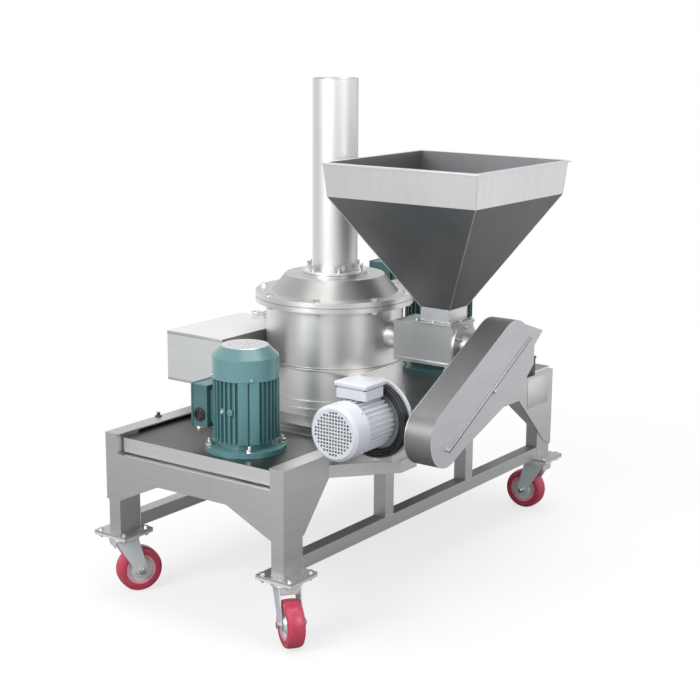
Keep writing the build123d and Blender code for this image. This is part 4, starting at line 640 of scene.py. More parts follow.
def add_bolt(mesh, foot, axis, size, stud=0.0, spin=0.3):
    """Washer, hexagon and, for a nut, the rounded end of its bolt; foot is on the surface clamped."""
    washer = size * WASHER_THICK
    reach = size * WASHER_REACH
    matrix = turn_to(foot, axis, spin)
    rim = [(size, 0), (reach, washer * 0.3), (reach, washer * 0.8), (size, washer)]
    add_turned(mesh, [(0, 0), *rim, (0, washer)], matrix, 32)
    lifted = matrix @ Matrix.Translation((0, 0, washer))
    add_hexagon(mesh, lifted, size * HEAD_ACROSS, size * HEAD_HEIGHT)
    if stud:
        top = size * HEAD_HEIGHT
        threads = [(0, top)]
        turns = max(2, int(stud / (size * THREAD_PITCH)))
        for turn in range(turns):
            height = top + stud * turn / turns
            threads.append((size * THREAD_CREST, height))
            threads.append((size * THREAD_ROOT, height + stud / turns / 2))
        threads.append((size * STUD_END, top + stud))
        threads.append((0, top + stud))
        add_turned(mesh, threads, lifted, 20)


def bolt_set(name, feet, axis, size, body="frame", stud=0.0):
    mesh = bmesh.new()
    for index, foot in enumerate(feet):
        add_bolt(mesh, foot, axis, size, stud, spin=0.3 + index * 0.7)
    finish_piece(name, mesh, "fastener_steel", body)


def add_screw(mesh, foot, axis, radius):
    """A low pan head with a hexagon socket."""
    height = radius * 0.7
    inner = radius * 0.5
    matrix = turn_to(foot, axis)
    head = [(0, 0), (radius, 0), (radius, height * 0.5), (radius * 0.8, height * 0.92), (inner, height)]
    socket = [(inner, height), (radius * 0.46, height * 0.4), (0, height * 0.35)]
    for profile in (head, socket):
        add_turned(mesh, profile, matrix, 24)


def screw_set(name, places, radius, body="frame"):
    """Screws, each at a foot and along an axis."""
    mesh = bmesh.new()
    for foot, axis in places:
        add_screw(mesh, foot, axis, radius)
    bmesh.ops.remove_doubles(mesh, verts=mesh.verts, dist=WELD_GAP)
    finish_piece(name, mesh, "fastener_steel", body)


def screw_ring(name, centre, reach, axes, radius, body="frame"):
    """Screws that stand outwards round a centre."""
    screw_set(name, [(centre + axis * reach, axis) for axis in axes], radius, body)


def ring_places(centre, radius, angles, height):
    """Points round an upright axis, angles in degrees."""
    return [Vector((*centre, height)) + outwards(angle) * radius for angle in angles]


# Frame

APRON_FACE_X = 310.0
APRON_FACE_Y = 707.0
LEG_X = (266.0, 306.0)
LEG_Y = (623.0, 703.0)
FRAME_TOP = 470.0
APRON_FOOT = 283.0
FOOT_TOP = 185.0
RAIL_TOP = 222.0
POST_PLACES = (-225.0, 200.0)
POST_HALF = 20.0
BEAM_SEAMS = (-124.0, 62.0)
BEAM_SEAM_Y = (-APRON_FACE_Y - 0.25, -APRON_FACE_Y + 0.5)
BEAM_SEAM_Z = (347.0, 411.0)
SEAM_HALF = 0.7
BARE_PLATE_Y = (543.0, 676.0)
BARE_PLATE_Z = (367.0, 463.0)
RIVET_INSET = 6.0
RIVET = [(0, 0), (2.6, 0), (2.4, 0.8), (1.5, 1.5), (0, 1.8)]


def add_square_bead(mesh, x_span, y_span, z, radius=1.6):
    left, right = x_span
    near, far = y_span
    for start, end in sides([(left, near, z), (right, near, z), (right, far, z), (left, far, z)]):
        add_bead(mesh, start, end, radius)


def frame_welds():
    """Weld seams where the legs, rails and posts meet."""
    mesh = bmesh.new()
    for side in (-1, 1):
        x_span = sorted(side * x for x in LEG_X)
        for end in (-1, 1):
            y_span = sorted(end * y for y in LEG_Y)
            add_square_bead(mesh, x_span, y_span, FOOT_TOP + 0.6)
            joint_y = end * LEG_Y[0]
            for x in x_span:
                add_bead(mesh, (x, joint_y, FOOT_TOP), (x, joint_y, RAIL_TOP), 1.3)
            add_bead(mesh, (x_span[0], joint_y, RAIL_TOP), (x_span[1], joint_y, RAIL_TOP), 1.3)
        for post_y in POST_PLACES:
            add_square_bead(mesh, x_span, (post_y - POST_HALF, post_y + POST_HALF), RAIL_TOP + 0.4, 1.3)
    finish_piece("frame_welds", mesh, "weld_metal")


def ground_seams():
    """Flat ground joints in the front beam and down the frame's corners."""
    mesh = bmesh.new()
    for x in BEAM_SEAMS:
        add_box(mesh, grown((x, x), SEAM_HALF), BEAM_SEAM_Y, BEAM_SEAM_Z)
    for side in (-1, 1):
        for end in (-1, 1):
            x = side * (APRON_FACE_X - 1.0)
            y = end * (APRON_FACE_Y - 1.0)
            add_rod(mesh, (x, y, APRON_FOOT), (x, y, FRAME_TOP - 1.0), 1.5, 12)
    finish_piece("ground_seams", mesh, "weld_metal")


def deck_flange():
    """Down-turned front edge of the mill deck, just behind the sliding plate."""
    box_piece("deck_flange", (-298.0, 298.0), (-360.0, -356.0), (450.0, FRAME_TOP), "frame_steel", bevel=0.8)


def bare_plate():
    """Blank plate on the right rear gusset, held by four rivets."""
    face = APRON_FACE_X + 1.0
    box_piece("bare_plate", (APRON_FACE_X, face), BARE_PLATE_Y, BARE_PLATE_Z, "plate_metal", bevel=0.3)
    rivets = bmesh.new()
    for y in grown(BARE_PLATE_Y, -RIVET_INSET):
        for z in grown(BARE_PLATE_Z, -RIVET_INSET):
            add_turned(rivets, RIVET, turn_to((face, y, z), X), 20)
    finish_piece("plate_rivets", rivets, "fastener_steel")


def switch_block():
    """Small black box on the right flange behind the guard, with its lid and screws."""
    look = {"material": "box_plastic", "steps": 3}
    box_piece("switch_block", (272.0, 302.0), (556.0, 604.0), (FRAME_TOP, 520.0), bevel=2.0, **look)
    box_piece("switch_block_lid", (270.0, 304.0), (554.0, 606.0), (520.5, 530.0), bevel=2.5, **look)
    places = [((x, y, 530.0), Z) for x in (276.0, 298.0) for y in (560.0, 600.0)]
    screw_set("switch_block_screws", places, 2.6)


def flange_clip():
    """Small dark clip with its screw on the left flange."""
    mesh = bmesh.new()
    add_box(mesh, (-309.0, -293.0), (-511.0, -497.0), (FRAME_TOP, 474.0))
    add_box(mesh, (-305.0, -297.0), (-508.0, -500.0), (474.0, 483.0))
    finish_piece("flange_clip", mesh, "box_plastic", bevel=1.0)
    screw_set("flange_clip_screw", [((-301.0, -504.0, 483.0), Z)], 3.0)


def frame_pieces():
    frame_welds()
    ground_seams()
    deck_flange()
    bare_plate()
    switch_block()
    flange_clip()
    bolt_set("slide_bolts", [(-164.0, -484.0, 457.0), (-164.0, -400.0, 457.0)], Z, 9.0, "motor_slide", 9.0)


# Casters, each by its x, its y and the angle of its swivel

CASTERS = {
    "front_left": (-288.0, -668.0, 62.0),
    "front_right": (288.0, -668.0, -36.0),
    "rear_left": (-288.0, 668.0, 144.0),
    "rear_right": (288.0, 668.0, 180.0),
}
WHEEL_CENTRE = (41.0, 0.0, 63.5)
AXLE_HALF = 30.6
PLATE_BOLT_X = 44.5
PLATE_BOLT_Y = 43.0
PLATE_UNDER = 172.0
LIP_REACH = (31.5, 34.5)
LIP_Y = (-25.75, 25.75)
LIP_Z = (138.0, 158.0)
SWIVEL_RACE = [
    (34.0, 154.0), (37.0, 153.0), (41.5, 156.0), (43.0, 161.0), (41.0, 166.0),
    (43.0, 168.5), (42.5, 171.4), (38.0, 171.4), (34.0, 168.0),
]

# Parts of a wheel by material, steps round it and half their profile

TYRE_HALF = [(43.0, -20.0), (44.5, -22.5), (54.0, -23.8), (60.0, -21.0), (62.8, -15.0), (63.5, -6.0)]
RING_HALF = [(33.0, -18.6), (34.0, -20.0), (41.0, -21.4), (42.9, -20.5)]
CORE_HALF = [(17.0, -24.0), (20.0, -24.0), (21.5, -19.0), (24.0, -15.5), (31.0, -15.5), (32.9, -18.0)]
BEARING_HALF = [(6.2, -25.8), (9.0, -25.8), (9.4, -24.6), (15.0, -24.6), (16.9, -25.4)]
WHEEL_PARTS = {
    "tyre_": ("wheel_red", 96, TYRE_HALF),
    "wheel_ring_": ("wheel_ring", 72, RING_HALF),
    "wheel_core_": ("zinc_plate", 72, CORE_HALF),
    "wheel_bearing_": ("fastener_steel", 48, BEARING_HALF),
}


def caster_wheel(name, caster):
    """Red tyre with rounded shoulders, its paler ring, the zinc core and the bearing."""
    place = caster @ turn_to(WHEEL_CENTRE, Y)
    for part, (material, steps, half) in WHEEL_PARTS.items():
        finish = {"body": "wheel_" + name}
        if part == "tyre_":
            finish["stands_for"] = ("caster_wheel_" + name,)
        turned_piece(part + name, mirrored(half), place, steps, material, **finish)


def caster_fork_pieces(name, caster):
    """Swivel race with its dust lip, the fork's lips, and the axle's head and nut."""
    body = "swivel_" + name
    turned_piece("swivel_race_" + name, SWIVEL_RACE, caster, 64, "zinc_plate", body=body)
    lips = bmesh.new()
    for end in (-1, 1):
        add_box(lips, sorted(end * x for x in LIP_REACH), LIP_Y, LIP_Z, caster)
    finish_piece("fork_lips_" + name, lips, "zinc_plate", body, bevel=1.2)
    nuts = bmesh.new()
    for side in (-1, 1):
        foot = caster @ Vector((WHEEL_CENTRE[0], side * AXLE_HALF, WHEEL_CENTRE[2]))
        add_bolt(nuts, foot, caster.to_3x3() @ (Y * side), 11.0, stud=3.0 if side > 0 else 0.0)
    finish_piece("axle_nuts_" + name, nuts, "fastener_steel", body)


def caster_pieces():
    tops, unders = [], []
    for name, (x, y, angle) in CASTERS.items():
        caster = Matrix.Translation((x, y, 0)) @ Matrix.Rotation(radians(angle), 4, "Z")
        caster_wheel(name, caster)
        caster_fork_pieces(name, caster)
        for step_x in (-PLATE_BOLT_X, PLATE_BOLT_X):
            for step_y in (-PLATE_BOLT_Y, PLATE_BOLT_Y):
                tops.append((x + step_x, y + step_y, FOOT_TOP))
                unders.append((x + step_x, y + step_y, PLATE_UNDER))
    bolt_set("plate_bolts", tops, Z, 7.5)
    bolt_set("plate_nuts", unders, -Z, 7.5, stud=4.0)


# Grinding vessel

VESSEL = Vector((0.0, -70.0, 0.0))
VESSEL_RADIUS = 200.0
CASING_SEAM = 614.0
CASING_TOP = 794.0
PIPE_RADIUS = 65.0
SEAM_ANGLE = 110
BANDS = {
    "vessel_gaskets": ("gasket_black", (
        (200.25, CASING_SEAM - 0.8, CASING_SEAM + 0.8),
        (230.35, CASING_TOP - 0.7, CASING_TOP + 0.7),
        (93.4, 861.3, 862.7),
    )),
    "seam_bands": ("vessel_steel", (
        (202.0, CASING_SEAM - 7.0, CASING_SEAM - 1.2),
        (201.2, CASING_SEAM + 1.2, CASING_SEAM + 4.0),
    )),
}
NOZZLE_Z = 703.0
NOZZLE_NUT = [(7.1, 0), (11.5, 0), (12.4, 1.2), (12.4, 9.0), (11.5, 10.0), (7.1, 10.0)]


def vessel_bands():
    """Gaskets and bands: thin rings that stand out round the casings' joints and the pipe's flange."""
    depth, edge = 3.0, 0.3
    for name, (material, bands) in BANDS.items():
        mesh = bmesh.new()
        for radius, low, high in bands:
            inner = radius - edge
            outline = [(inner, low), (radius, low + edge), (radius, high - edge), (inner, high)]
            profile = [(radius - depth, low), *outline, (radius - depth, high)]
            add_turned(mesh, profile, Matrix.Translation(VESSEL), 160, closed=True)
        finish_piece(name, mesh, material)


def add_saddle_bead(mesh, side, height, radius):
    """Weld bead where a round stub along X meets the casing."""
    points = []
    for y, rise in circle(radius + 0.8, 120):
        reach = (VESSEL_RADIUS**2 - y**2) ** 0.5 + 0.6
        points.append(VESSEL + Vector((side * reach, y, height + rise)))
    add_tube(mesh, points, (1.35, 1.7), joined=True)


def vessel_welds():
    """Round and upright weld seams of the casings and pipe, and those of the two stubs."""
    welds = bmesh.new()
    for radius, z in ((210.4, 479.6), (205.4, 500.4), (200.6, 521.4), (200.6, 778.6)):
        add_round_bead(welds, VESSEL + Z * z, Z, radius, 1.2)
    for radius, z in ((PIPE_RADIUS + 0.5, 869.6), (PIPE_RADIUS - 0.6, 1413.0)):
        add_round_bead(welds, VESSEL + Z * z, Z, radius, 0.9)
    for low, high, radius in ((522.0, 606.0, 200.0), (619.0, 777.0, 200.0), (871.0, 1412.0, PIPE_RADIUS)):
        seam = VESSEL + outwards(SEAM_ANGLE) * radius
        add_bead(welds, seam + Z * low, seam + Z * high, 0.9)
    add_saddle_bead(welds, 1, 700.0, 38.0)
    add_saddle_bead(welds, -1, NOZZLE_Z, 7.0)
    finish_piece("vessel_welds", welds, "weld_metal")


def nozzle_pieces():
    """Thread and nut of the small nozzle on the left."""
    threads = [(5.2, 0.0), (6.6, 0.0)]
    for turn in range(12):
        threads += [(7.9, 1.0 + turn * 1.8), (7.0, 1.9 + turn * 1.8)]
    threads += [(7.0, 24.0), (5.2, 24.0)]
    start = turn_to(VESSEL + Vector((-308.0, 0, NOZZLE_Z)), X)
    turned_piece("nozzle_threads", threads, start, 40, "fastener_steel")
    place = turn_to(VESSEL + Vector((-262.0, 0, NOZZLE_Z)), X)
    turned_piece("nozzle_nut", NOZZLE_NUT, place, 6, "fastener_steel", bevel=0.4)


DUCT_FACE_X = -374.0


def duct_pieces():
    """Folded lips along the duct's front edges and its weld seams."""
    lips = bmesh.new()
    for z_span in ((682.0, 690.6), (545.0, 553.0)):
        add_box(lips, (DUCT_FACE_X - 0.5, -166.0), (-382.0, -380.0), z_span)
    finish_piece("duct_lips", lips, "frame_steel", bevel=0.7)
    welds = bmesh.new()
    for z in (546.0, 689.4):
        add_bead(welds, (DUCT_FACE_X, -379.0, z), (DUCT_FACE_X, -42.0, z), 0.9)
    add_bead(welds, (DUCT_FACE_X, -379.4, 554.0), (DUCT_FACE_X, -379.4, 682.0), 0.9)
    add_bead(welds, (-168.0, -182.0, 690.4), (-200.2, -41.0, 690.4), 1.1)
    finish_piece("duct_welds", welds, "weld_metal")


# Motors

FRONT_MOTOR = (68.0, -561.0)
REAR_MOTOR = (20.0, 465.0)
BOLT_ANGLES = (45, 135, 225, 315)
COVER_ANGLES = (50, 140, 230, 320)
PAD_ANGLES = (-45, 45)
PAD_REACH = (70.0, 87.6)
PAD_Z = (487.0, 654.5)
BOSS_ANGLES = (-95, -79)
BOSS_Z = 573.0
CABLE_ENTRY = [(0, 0), (19.0, 0), (18.0, 5.0), (14.0, 6.0), (14.0, 10.0), (9.0, 10.0), (8.4, 4.0), (0, 4.0)]
GLAND_NUT = [(9.2, 0), (12.5, 0), (13.2, 1.0), (13.2, 7.0), (12.5, 8.0), (9.2, 8.0)]


def cover_screws(name, centre, radius, z, body):
    axes = [outwards(angle) for angle in COVER_ANGLES]
    screw_ring(name, Vector((*centre, z)), radius - 0.2, axes, 4.2, body)


def side_box_pieces(motor, centre, reach, width, z_span, paint, body):
    """Lid, seal, screws and cable entry of a terminal box on a motor's left."""
    face = centre[0] - reach
    seal_face = face - 1.2
    lid_face = face - 8.0
    y_span = (centre[1] - width / 2, centre[1] + width / 2)
    seal_spans = ((seal_face, face), grown(y_span, -1), grown(z_span, -1))
    box_piece(motor + "_box_seal", *seal_spans, "gasket_black", body=body)
    lid_spans = ((lid_face, seal_face), grown(y_span, 2), grown(z_span, 2))
    box_piece(motor + "_box_lid", *lid_spans, paint, body=body, bevel=2.2, steps=3)
    places = [((lid_face, y, z), -X) for y in grown(y_span, -7) for z in grown(z_span, -7)]
    screw_set(motor + "_box_screws", places, 3.6, body)
    place = turn_to((face + 22.0, y_span[0], z_span[0] + 34.0), -Y)
    turned_piece(motor + "_cable_entry", CABLE_ENTRY, place, 48, "box_plastic", closed=False, body=body)
    under = turn_to((face + 26.5, centre[1], z_span[0] - 4.0), -Z)
    turned_piece(motor + "_gland_nut", GLAND_NUT, under, 6, "fastener_steel", body=body, bevel=0.4)


def front_motor_pads():
    """Flat cast pads between the ribs, and two round bosses on the front, one with the earth screw."""
    about = Matrix.Translation((*FRONT_MOTOR, 0))
    pads = bmesh.new()
    for angle in PAD_ANGLES:
        place = about @ Matrix.Rotation(radians(angle), 4, "Z")
        for y_span in ((-28.0, -2.0), (2.0, 28.0)):
            add_box(pads, PAD_REACH, y_span, PAD_Z, place)
    finish_piece("front_motor_pads", pads, "teal_paint", "motor_slide", bevel=1.4, steps=3)
    bosses = bmesh.new()
    middle = Vector((*FRONT_MOTOR, BOSS_Z))
    for angle in BOSS_ANGLES:
        out = outwards(angle)
        add_rod(bosses, middle + out * 76.0, middle + out * 88.4, 9.0, 32, 1.5)
    finish_piece("front_motor_bosses", bosses, "teal_paint", "motor_slide")
    screw_ring("earth_screw", middle, 88.3, [outwards(BOSS_ANGLES[0])], 4.6, "motor_slide")


def motor_pieces():
    front_motor_pads()
    front_feet = ring_places(FRONT_MOTOR, 97.0, BOLT_ANGLES, 471.0)
    bolt_set("front_motor_bolts", front_feet, Z, 11.0, "motor_slide", stud=9.0)
    bolt_set("rear_motor_bolts", ring_places(REAR_MOTOR, 112.0, BOLT_ANGLES, 493.0), Z, 10.0, stud=9.0)
    cover_screws("front_cover_screws", FRONT_MOTOR, 89.0, 662.0, "motor_slide")
    cover_screws("rear_cover_screws", REAR_MOTOR, 110.0, 823.0, "frame")
    # painted shade: the front motor's box lid takes the darker copy of the teal paint
    side_box_pieces("front_motor", FRONT_MOTOR, 142.0, 96.0, (506.0, 622.0), "box_teal_paint", "motor_slide")
    side_box_pieces("rear_motor", REAR_MOTOR, 222.0, 120.0, (700.0, 810.0), "dark_teal_paint", "frame")


# Hopper and screw feeder

HOPPER = (375.0, -70.0)
NECK_HALF = 46.0
SKIRT_HALF = 232.0
RIM_HALF = 247.0
NECK_TOP = 802.0
KNEE_Z = 1110.0
RIM_TOP = 1202.0
HOPPER_BOLT_REACH = 54.5
GASKET_HALF = 62.3
GASKET_INNER = 50.0
GASKET_Z = (760.5, 761.5)
FEEDER_FLANGE_TOP = 765.0
SCREW_Z = 700.0


def hopper_corner(sign_x, sign_y, half, z):
    return Vector((HOPPER[0] + sign_x * half, HOPPER[1] + sign_y * half, z))


def hopper_welds():
    """Seams up the hopper's four corners and round its neck."""
    low = (NECK_HALF, NECK_TOP)
    knee = (SKIRT_HALF - 0.2, KNEE_Z)
    seams = (
        (low, knee, 1.3),
        (knee, (RIM_HALF - 7.0, RIM_TOP - 6.0), 1.0),
        ((NECK_HALF, 766.0), low, 1.1),
        ((RIM_HALF - 14.0, RIM_TOP), (RIM_HALF - 1.0, RIM_TOP), 0.7),
    )
    welds = bmesh.new()
    for sign_x in (-1, 1):
        for sign_y in (-1, 1):
            for start, end, radius in seams:
                start, end = (hopper_corner(sign_x, sign_y, *place) for place in (start, end))
                add_bead(welds, start, end, radius)
    neck = [(middle - NECK_HALF, middle + NECK_HALF) for middle in HOPPER]
    for z in (NECK_TOP, FEEDER_FLANGE_TOP + 0.8):
        add_square_bead(welds, *neck, z, 1.3)
    finish_piece("hopper_welds", welds, "weld_metal")


def hopper_pieces():
    """Welds and rolled hem of the hopper, and the bolts and gasket of its neck."""
    hopper_welds()
    hem = bmesh.new()
    signs = ((-1, -1), (1, -1), (1, 1), (-1, 1))
    for start, end in sides([hopper_corner(*sign, RIM_HALF - 2.2, RIM_TOP - 3.0) for sign in signs]):
        add_rod(hem, start, end, 2.1, 16)
    finish_piece("rim_hem", hem, "vessel_steel")
    places = [(x, y) for x in (-1, 0, 1) for y in (-1, 0, 1) if x or y]
    feet = [hopper_corner(*place, HOPPER_BOLT_REACH, FEEDER_FLANGE_TOP) for place in places]
    bolt_set("hopper_bolts", feet, Z, 4.6, stud=3.0)
    gasket = bmesh.new()
    x, y = HOPPER
    add_box(gasket, (x - GASKET_HALF, x + GASKET_HALF), (y - GASKET_HALF, y - GASKET_INNER), GASKET_Z)
    add_box(gasket, (x + GASKET_INNER, x + GASKET_HALF), (y - GASKET_INNER, y + GASKET_HALF), GASKET_Z)
    finish_piece("hopper_gasket", gasket, "gasket_black")


def feeder_pieces():
    """Bolts, weld seams and lower lip of the screw feeder."""
    centre = Vector((0, VESSEL.y, SCREW_Z))
    feet = [centre + X * 446.0 + outwards(angle, Y, Z) * 52.0 for angle in range(30, 390, 60)]
    bolt_set("feeder_flange_bolts", feet, X, 5.6, stud=3.0)
    welds = bmesh.new()
    for x, ring_radius, radius in ((244.6, 38.6, 1.4), (446.6, 38.6, 1.4), (519.2, 38.4, 1.2)):
        add_round_bead(welds, centre + X * x, X, ring_radius, radius)
    finish_piece("feeder_welds", welds, "weld_metal")
    box_piece("feeder_lower_lip", (250.0, 433.0), (-127.2, -125.0), (649.0, 656.0), "frame_steel", bevel=0.6)


# Belt guard

GUARD_FACE_X = 600.0
GROOVE_START = Vector((GUARD_FACE_X, -392.0, 497.0))
GROOVE_END = Vector((GUARD_FACE_X, 24.0, 727.0))


def guard_pieces():
    """Raised lip along the guard's face, a black strip of painted shade in the groove beside it, and its two
    bolts.
    """
    along = (GROOVE_END - GROOVE_START).normalized()
    matrix = Matrix((X, along, X.cross(along))).transposed().to_4x4()
    matrix.translation = GROOVE_START
    length = (GROOVE_END - GROOVE_START).length
    lip = bmesh.new()
    add_box(lip, (0.0, 2.6), (0.0, length), (1.8, 9.0), matrix)
    finish_piece("guard_lip", lip, "guard_sheet", bevel=0.8)
    # painted shade: a black strip stands for the shaded gap beside the lip
    groove = bmesh.new()
    add_box(groove, (-0.2, 0.5), (0.0, length), (-2.6, 1.8), matrix)
    finish_piece("guard_groove_painted_shade", groove, "gasket_black")
    bolt_set("guard_bolts", [(GUARD_FACE_X, -173.0, 614.0), (GUARD_FACE_X, -405.0, 508.0)], X, 6.5, stud=3.0)


# Gearbox and gear motor

GEAR_AXIS = Vector((408.0, 0, 568.0))
DISC_BACK = -433.0
COVER_SCREW_Y = -581.0
STUD_Y = (-572.0, -463.5)
GEAR_BOX_X = (355.0, 450.0)
GEAR_BOX_Y = (-552.0, -468.0)
GEAR_BOX_TOP = 666.0
GEAR_LID_FOOT = 668.2
GEAR_LID_TOP = 682.0
SIDE_COVER = [(0, 0), (27.0, 0), (27.0, 4.0), (24.0, 6.0), (12.0, 6.5), (0, 6.5)]


def gear_motor_pieces():
    """Seal, lid and screws of the terminal box, and the cover's screws, the disc's bolts and the studs."""
    box_piece(
        "gear_box_seal", GEAR_BOX_X, GEAR_BOX_Y, (GEAR_BOX_TOP, GEAR_LID_FOOT), "gasket_black", bevel=0.5
    )
    lid_spans = (grown(GEAR_BOX_X, 3), grown(GEAR_BOX_Y, 3), (GEAR_LID_FOOT, GEAR_LID_TOP))
    box_piece("gear_box_lid", *lid_spans, "pale_grey_paint", bevel=4.5, steps=4)
    places = [((x, y, GEAR_LID_TOP), Z) for x in grown(GEAR_BOX_X, -8) for y in grown(GEAR_BOX_Y, -8)]
    screw_set("gear_box_screws", places, 3.2)
    slanting = [outwards(angle, X, Z) for angle in BOLT_ANGLES]
    screw_ring("gear_cover_screws", GEAR_AXIS + Y * COVER_SCREW_Y, 72.8, slanting, 3.4)
    disc = GEAR_AXIS + Y * DISC_BACK
    feet = [disc + outwards(angle, X, Z) * 99.0 for angle in range(30, 390, 60)]
    bolt_set("disc_bolts", feet, Y, 6.5, stud=3.0)
    studs = bmesh.new()
    for out in slanting:
        start, end = (GEAR_AXIS + out * 66.6 + Y * y for y in STUD_Y)
        add_rod(studs, start, end, 3.6, 20, 0.6)
    finish_piece("gear_motor_studs", studs, "pale_grey_paint")


def gearbox_pieces():
    """Plug, round side cover and bolts of the gearbox."""
    bolt_set("gearbox_plug", [(408.0, -403.0, 604.0)], Z, 8.0)
    place = turn_to((363.0, -403.0, 546.0), -X)
    turned_piece("gearbox_side_cover", SIDE_COVER, place, 64, "gearbox_aluminium", closed=False)
    feet = [(363.0, y, z) for y in (-424.0, -382.0) for z in (498.0, 594.0)]
    bolt_set("gearbox_bolts", feet, -X, 4.6)


# Cable wound round the gear motor

CABLE_RADIUS = 3.2
CABLE_LEAD = [(338.0, -482.0, 653.0), (327.0, -481.0, 650.0), (319.5, -475.0, 640.0), (316.8, -466.0, 630.0)]
CABLE_LAYERS = (-459.4, -452.2, -445.0)
COIL_RADII = (82.5, 102.0)
TURNS_PER_LAYER = 2.85
CHANGE_TURNS = 0.4
STEPS_PER_TURN = 20
COIL_START = radians(150.0)
GLAND_BASE = [(3.4, 0), (9.5, 0), (10.5, 1.0), (10.5, 6.0), (9.5, 7.0), (3.4, 7.0)]
GLAND_DOME = [(3.3, 7.0), (7.6, 7.0), (7.8, 11.0), (6.6, 14.5), (4.6, 16.4), (3.3, 16.8)]


def coil_places():
    """Radius and y of the cable at each step, in three flat spirals laid one behind another."""
    wound = int(TURNS_PER_LAYER * STEPS_PER_TURN)
    change = int(CHANGE_TURNS * STEPS_PER_TURN)
    places = []
    for layer, y in enumerate(CABLE_LAYERS):
        start, end = COIL_RADII if layer % 2 else COIL_RADII[::-1]
        places += [(start + (end - start) * index / wound, y) for index in range(wound + 1)]
        if layer + 1 < len(CABLE_LAYERS):
            shift = CABLE_LAYERS[layer + 1] - y
            places += [(end, y + shift * (index / change)) for index in range(1, change)]
    return places


def coil_points():
    """Points of the cable in metres: its lead from the terminal box and then its turns."""
    points = list(CABLE_LEAD)
    angle = COIL_START
    for radius, y in coil_places():
        points.append((GEAR_AXIS.x + radius * cos(angle), y, GEAR_AXIS.z + radius * sin(angle)))
        angle += 2 * pi / STEPS_PER_TURN
    return [TO_FRAME @ Vector(point) for point in points]


def cable():
    """The gear motor's cable, as one soft line."""
    points = coil_points()
    curve = bpy.data.curves.new("gear_motor_cable", "CURVE")
    curve.dimensions = "3D"
    curve.bevel_depth = CABLE_RADIUS * MM
    curve.bevel_resolution = 5
    curve.resolution_u = 4
    curve.use_fill_caps = True
    line = curve.splines.new("NURBS")
    line.points.add(len(points) - 1)
    for target, point in zip(line.points, points):
        target.co = (*point, 1.0)
    line.order_u = 3
    line.use_endpoint_u = True
    curve.materials.append(MATERIALS["cable_black"])
    piece = bpy.data.objects.new("gear_motor_cable", curve)
    bpy.context.scene.collection.objects.link(piece)
    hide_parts("cable_coil")
    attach(piece, "frame")


def cable_gland():
    """Hexagon and dome of the gland where the cable leaves its box."""
    gland = bmesh.new()
    place = turn_to((GEAR_BOX_X[0], -482.0, 653.0), -X)
    add_turned(gland, GLAND_BASE, place, 6, closed=True)
    add_turned(gland, GLAND_DOME, place, 32, closed=True)
    finish_piece("cable_gland", gland, "box_plastic")


def add_all_pieces():
    frame_pieces()
    caster_pieces()
    vessel_bands()
    vessel_welds()
    nozzle_pieces()
    duct_pieces()
    motor_pieces()
    hopper_pieces()
    feeder_pieces()
    guard_pieces()
    gear_motor_pieces()
    gearbox_pieces()
    cable()
    cable_gland()


# Stage and light

FLOOR_HALF = 14.0
SHADOW_REACH = (1.0, 2.2)
SHADOW_FADE = 0.72
MIRRORED_REACH = (0.7, 2.6)
BAND_COUNT = 3.0
BAND_TURN = -0.71
MIRRORED_DARK = 0.58
LIT_DARK = 0.4
WHITE = rgb(1, 1, 1)
FLOOR_AS_SEEN = rgb(0.86, 0.86, 0.86)
FLOOR_AS_LIT = rgb(0.3, 0.3, 0.305)
LAMP_TARGET = Vector((0, 0, 0.6))

# Area lamps by place, width, height and watts

LAMPS = {
    "key": ((-0.6, -4.0, 2.7), 1.8, 2.2, 110),
    "fill": ((4.0, -1.0, 2.2), 1.6, 2.4, 48),
    "top": ((0.2, 0.2, 4.2), 2.6, 2.6, 80),
}


def soft_bands(tree, place):
    """Broad bands of light and dark round the object, by the bearing of a place, from 0 to 1."""
    bearing = maths(tree, "ARCTAN2", place.outputs[1], place.outputs[0])
    wave = maths(tree, "SINE", maths(tree, "ADD", times(tree, bearing, BAND_COUNT), BAND_TURN))
    return maths(tree, "ADD", times(tree, wave, 0.5), 0.5)


def add_world():
    """White to the camera, pale with broad soft bands to polished metal, and a little darker as light."""
    world = bpy.data.worlds.new("studio")
    bpy.context.scene.world = world
    world.use_nodes = True
    tree = world.node_tree
    background = tree.nodes["Background"]
    path = node(tree, "LightPath")
    split = node(tree, "SeparateXYZ", {0: node(tree, "TexCoord").outputs["Generated"]})
    share = soft_bands(tree, split)
    height = maths(tree, "ADD", times(tree, split.outputs[2], 0.45), 0.62, clamp=True)
    lit = times(tree, ranged(tree, share, LIT_DARK, 1.0), height)
    seen = maths(tree, "ADD", path.outputs["Is Camera Ray"], path.outputs["Is Transmission Ray"], clamp=True)
    banded = ranged(tree, share, MIRRORED_DARK, 1.0)
    surroundings = mix_colour(tree, path.outputs["Is Glossy Ray"], lit, banded)
    link(tree, mix_colour(tree, seen, surroundings, WHITE), background.inputs["Color"])
    background.inputs["Strength"].default_value = 1.0


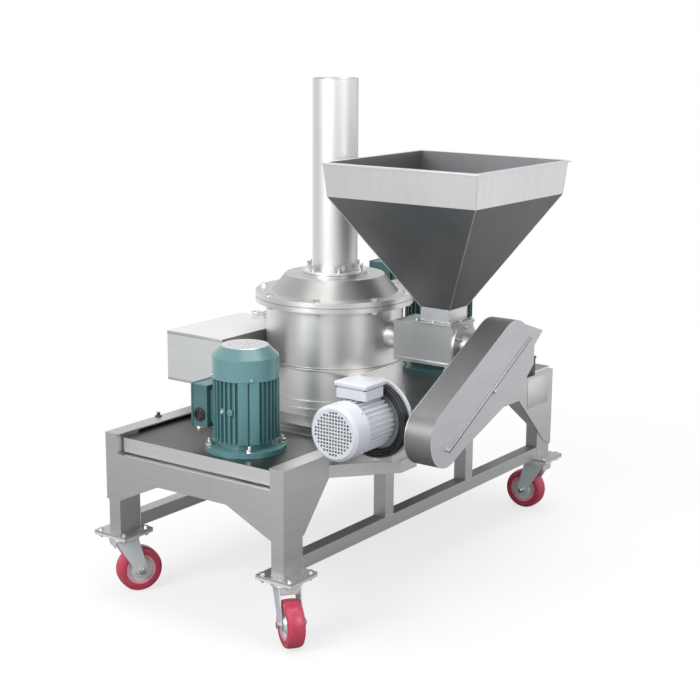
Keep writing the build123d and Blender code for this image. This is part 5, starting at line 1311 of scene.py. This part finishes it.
def floor_material():
    """Pale near the object, and further out as bright as the surroundings to the camera and to metal."""
    material, tree, shader = new_material("floor")
    shader.inputs["Roughness"].default_value = 0.7
    shader.inputs["Specular IOR Level"].default_value = 0.1
    path = node(tree, "LightPath")
    tone = mix_colour(tree, path.outputs["Is Camera Ray"], FLOOR_AS_LIT, FLOOR_AS_SEEN)
    link(tree, tone, shader.inputs["Base Color"])
    place = object_place(tree)
    away = vector_maths(tree, "LENGTH", "Value", place)
    fade = ranged(tree, away, SHADOW_FADE, 1.0, *SHADOW_REACH, "SMOOTHSTEP")
    far = ranged(tree, away, 0.0, 1.0, *MIRRORED_REACH, "SMOOTHSTEP")
    banded = ranged(tree, soft_bands(tree, node(tree, "SeparateXYZ", {0: place})), MIRRORED_DARK, 1.0)
    glow = node(tree, "Emission", {"Color": mix_colour(tree, path.outputs["Is Glossy Ray"], WHITE, banded)})
    shown = times(tree, path.outputs["Is Camera Ray"], fade)
    reflected = times(tree, path.outputs["Is Glossy Ray"], far)
    glowing = maths(tree, "ADD", shown, reflected, clamp=True)
    blend = node(tree, "MixShader", {0: glowing, 1: shader.outputs[0], 2: glow.outputs[0]})
    link(tree, blend.outputs[0], tree.nodes["Material Output"].inputs["Surface"])
    return material


def add_floor():
    """Pale floor that keeps the object's shadow and runs out into the white surroundings."""
    mesh = bmesh.new()
    bmesh.ops.create_grid(mesh, x_segments=1, y_segments=1, size=FLOOR_HALF)
    data = bpy.data.meshes.new("floor")
    mesh.to_mesh(data)
    mesh.free()
    data.materials.append(floor_material())
    floor = bpy.data.objects.new("floor", data)
    bpy.context.scene.collection.objects.link(floor)


def add_lamps():
    for name, (place, width, height, watts) in LAMPS.items():
        lamp = bpy.data.lights.new(name, "AREA")
        lamp.shape = "RECTANGLE"
        lamp.size = width
        lamp.size_y = height
        lamp.energy = watts
        holder = bpy.data.objects.new(name, lamp)
        holder.location = place
        aim = LAMP_TARGET - Vector(place)
        holder.rotation_euler = aim.to_track_quat("-Z", "Y").to_euler()
        bpy.context.scene.collection.objects.link(holder)


add_camera()
paint_shade_on_finishes()
dress_cad_nodes()
add_all_pieces()
add_world()
add_floor()
add_lamps()
bpy.context.scene.view_settings.view_transform = "Standard"
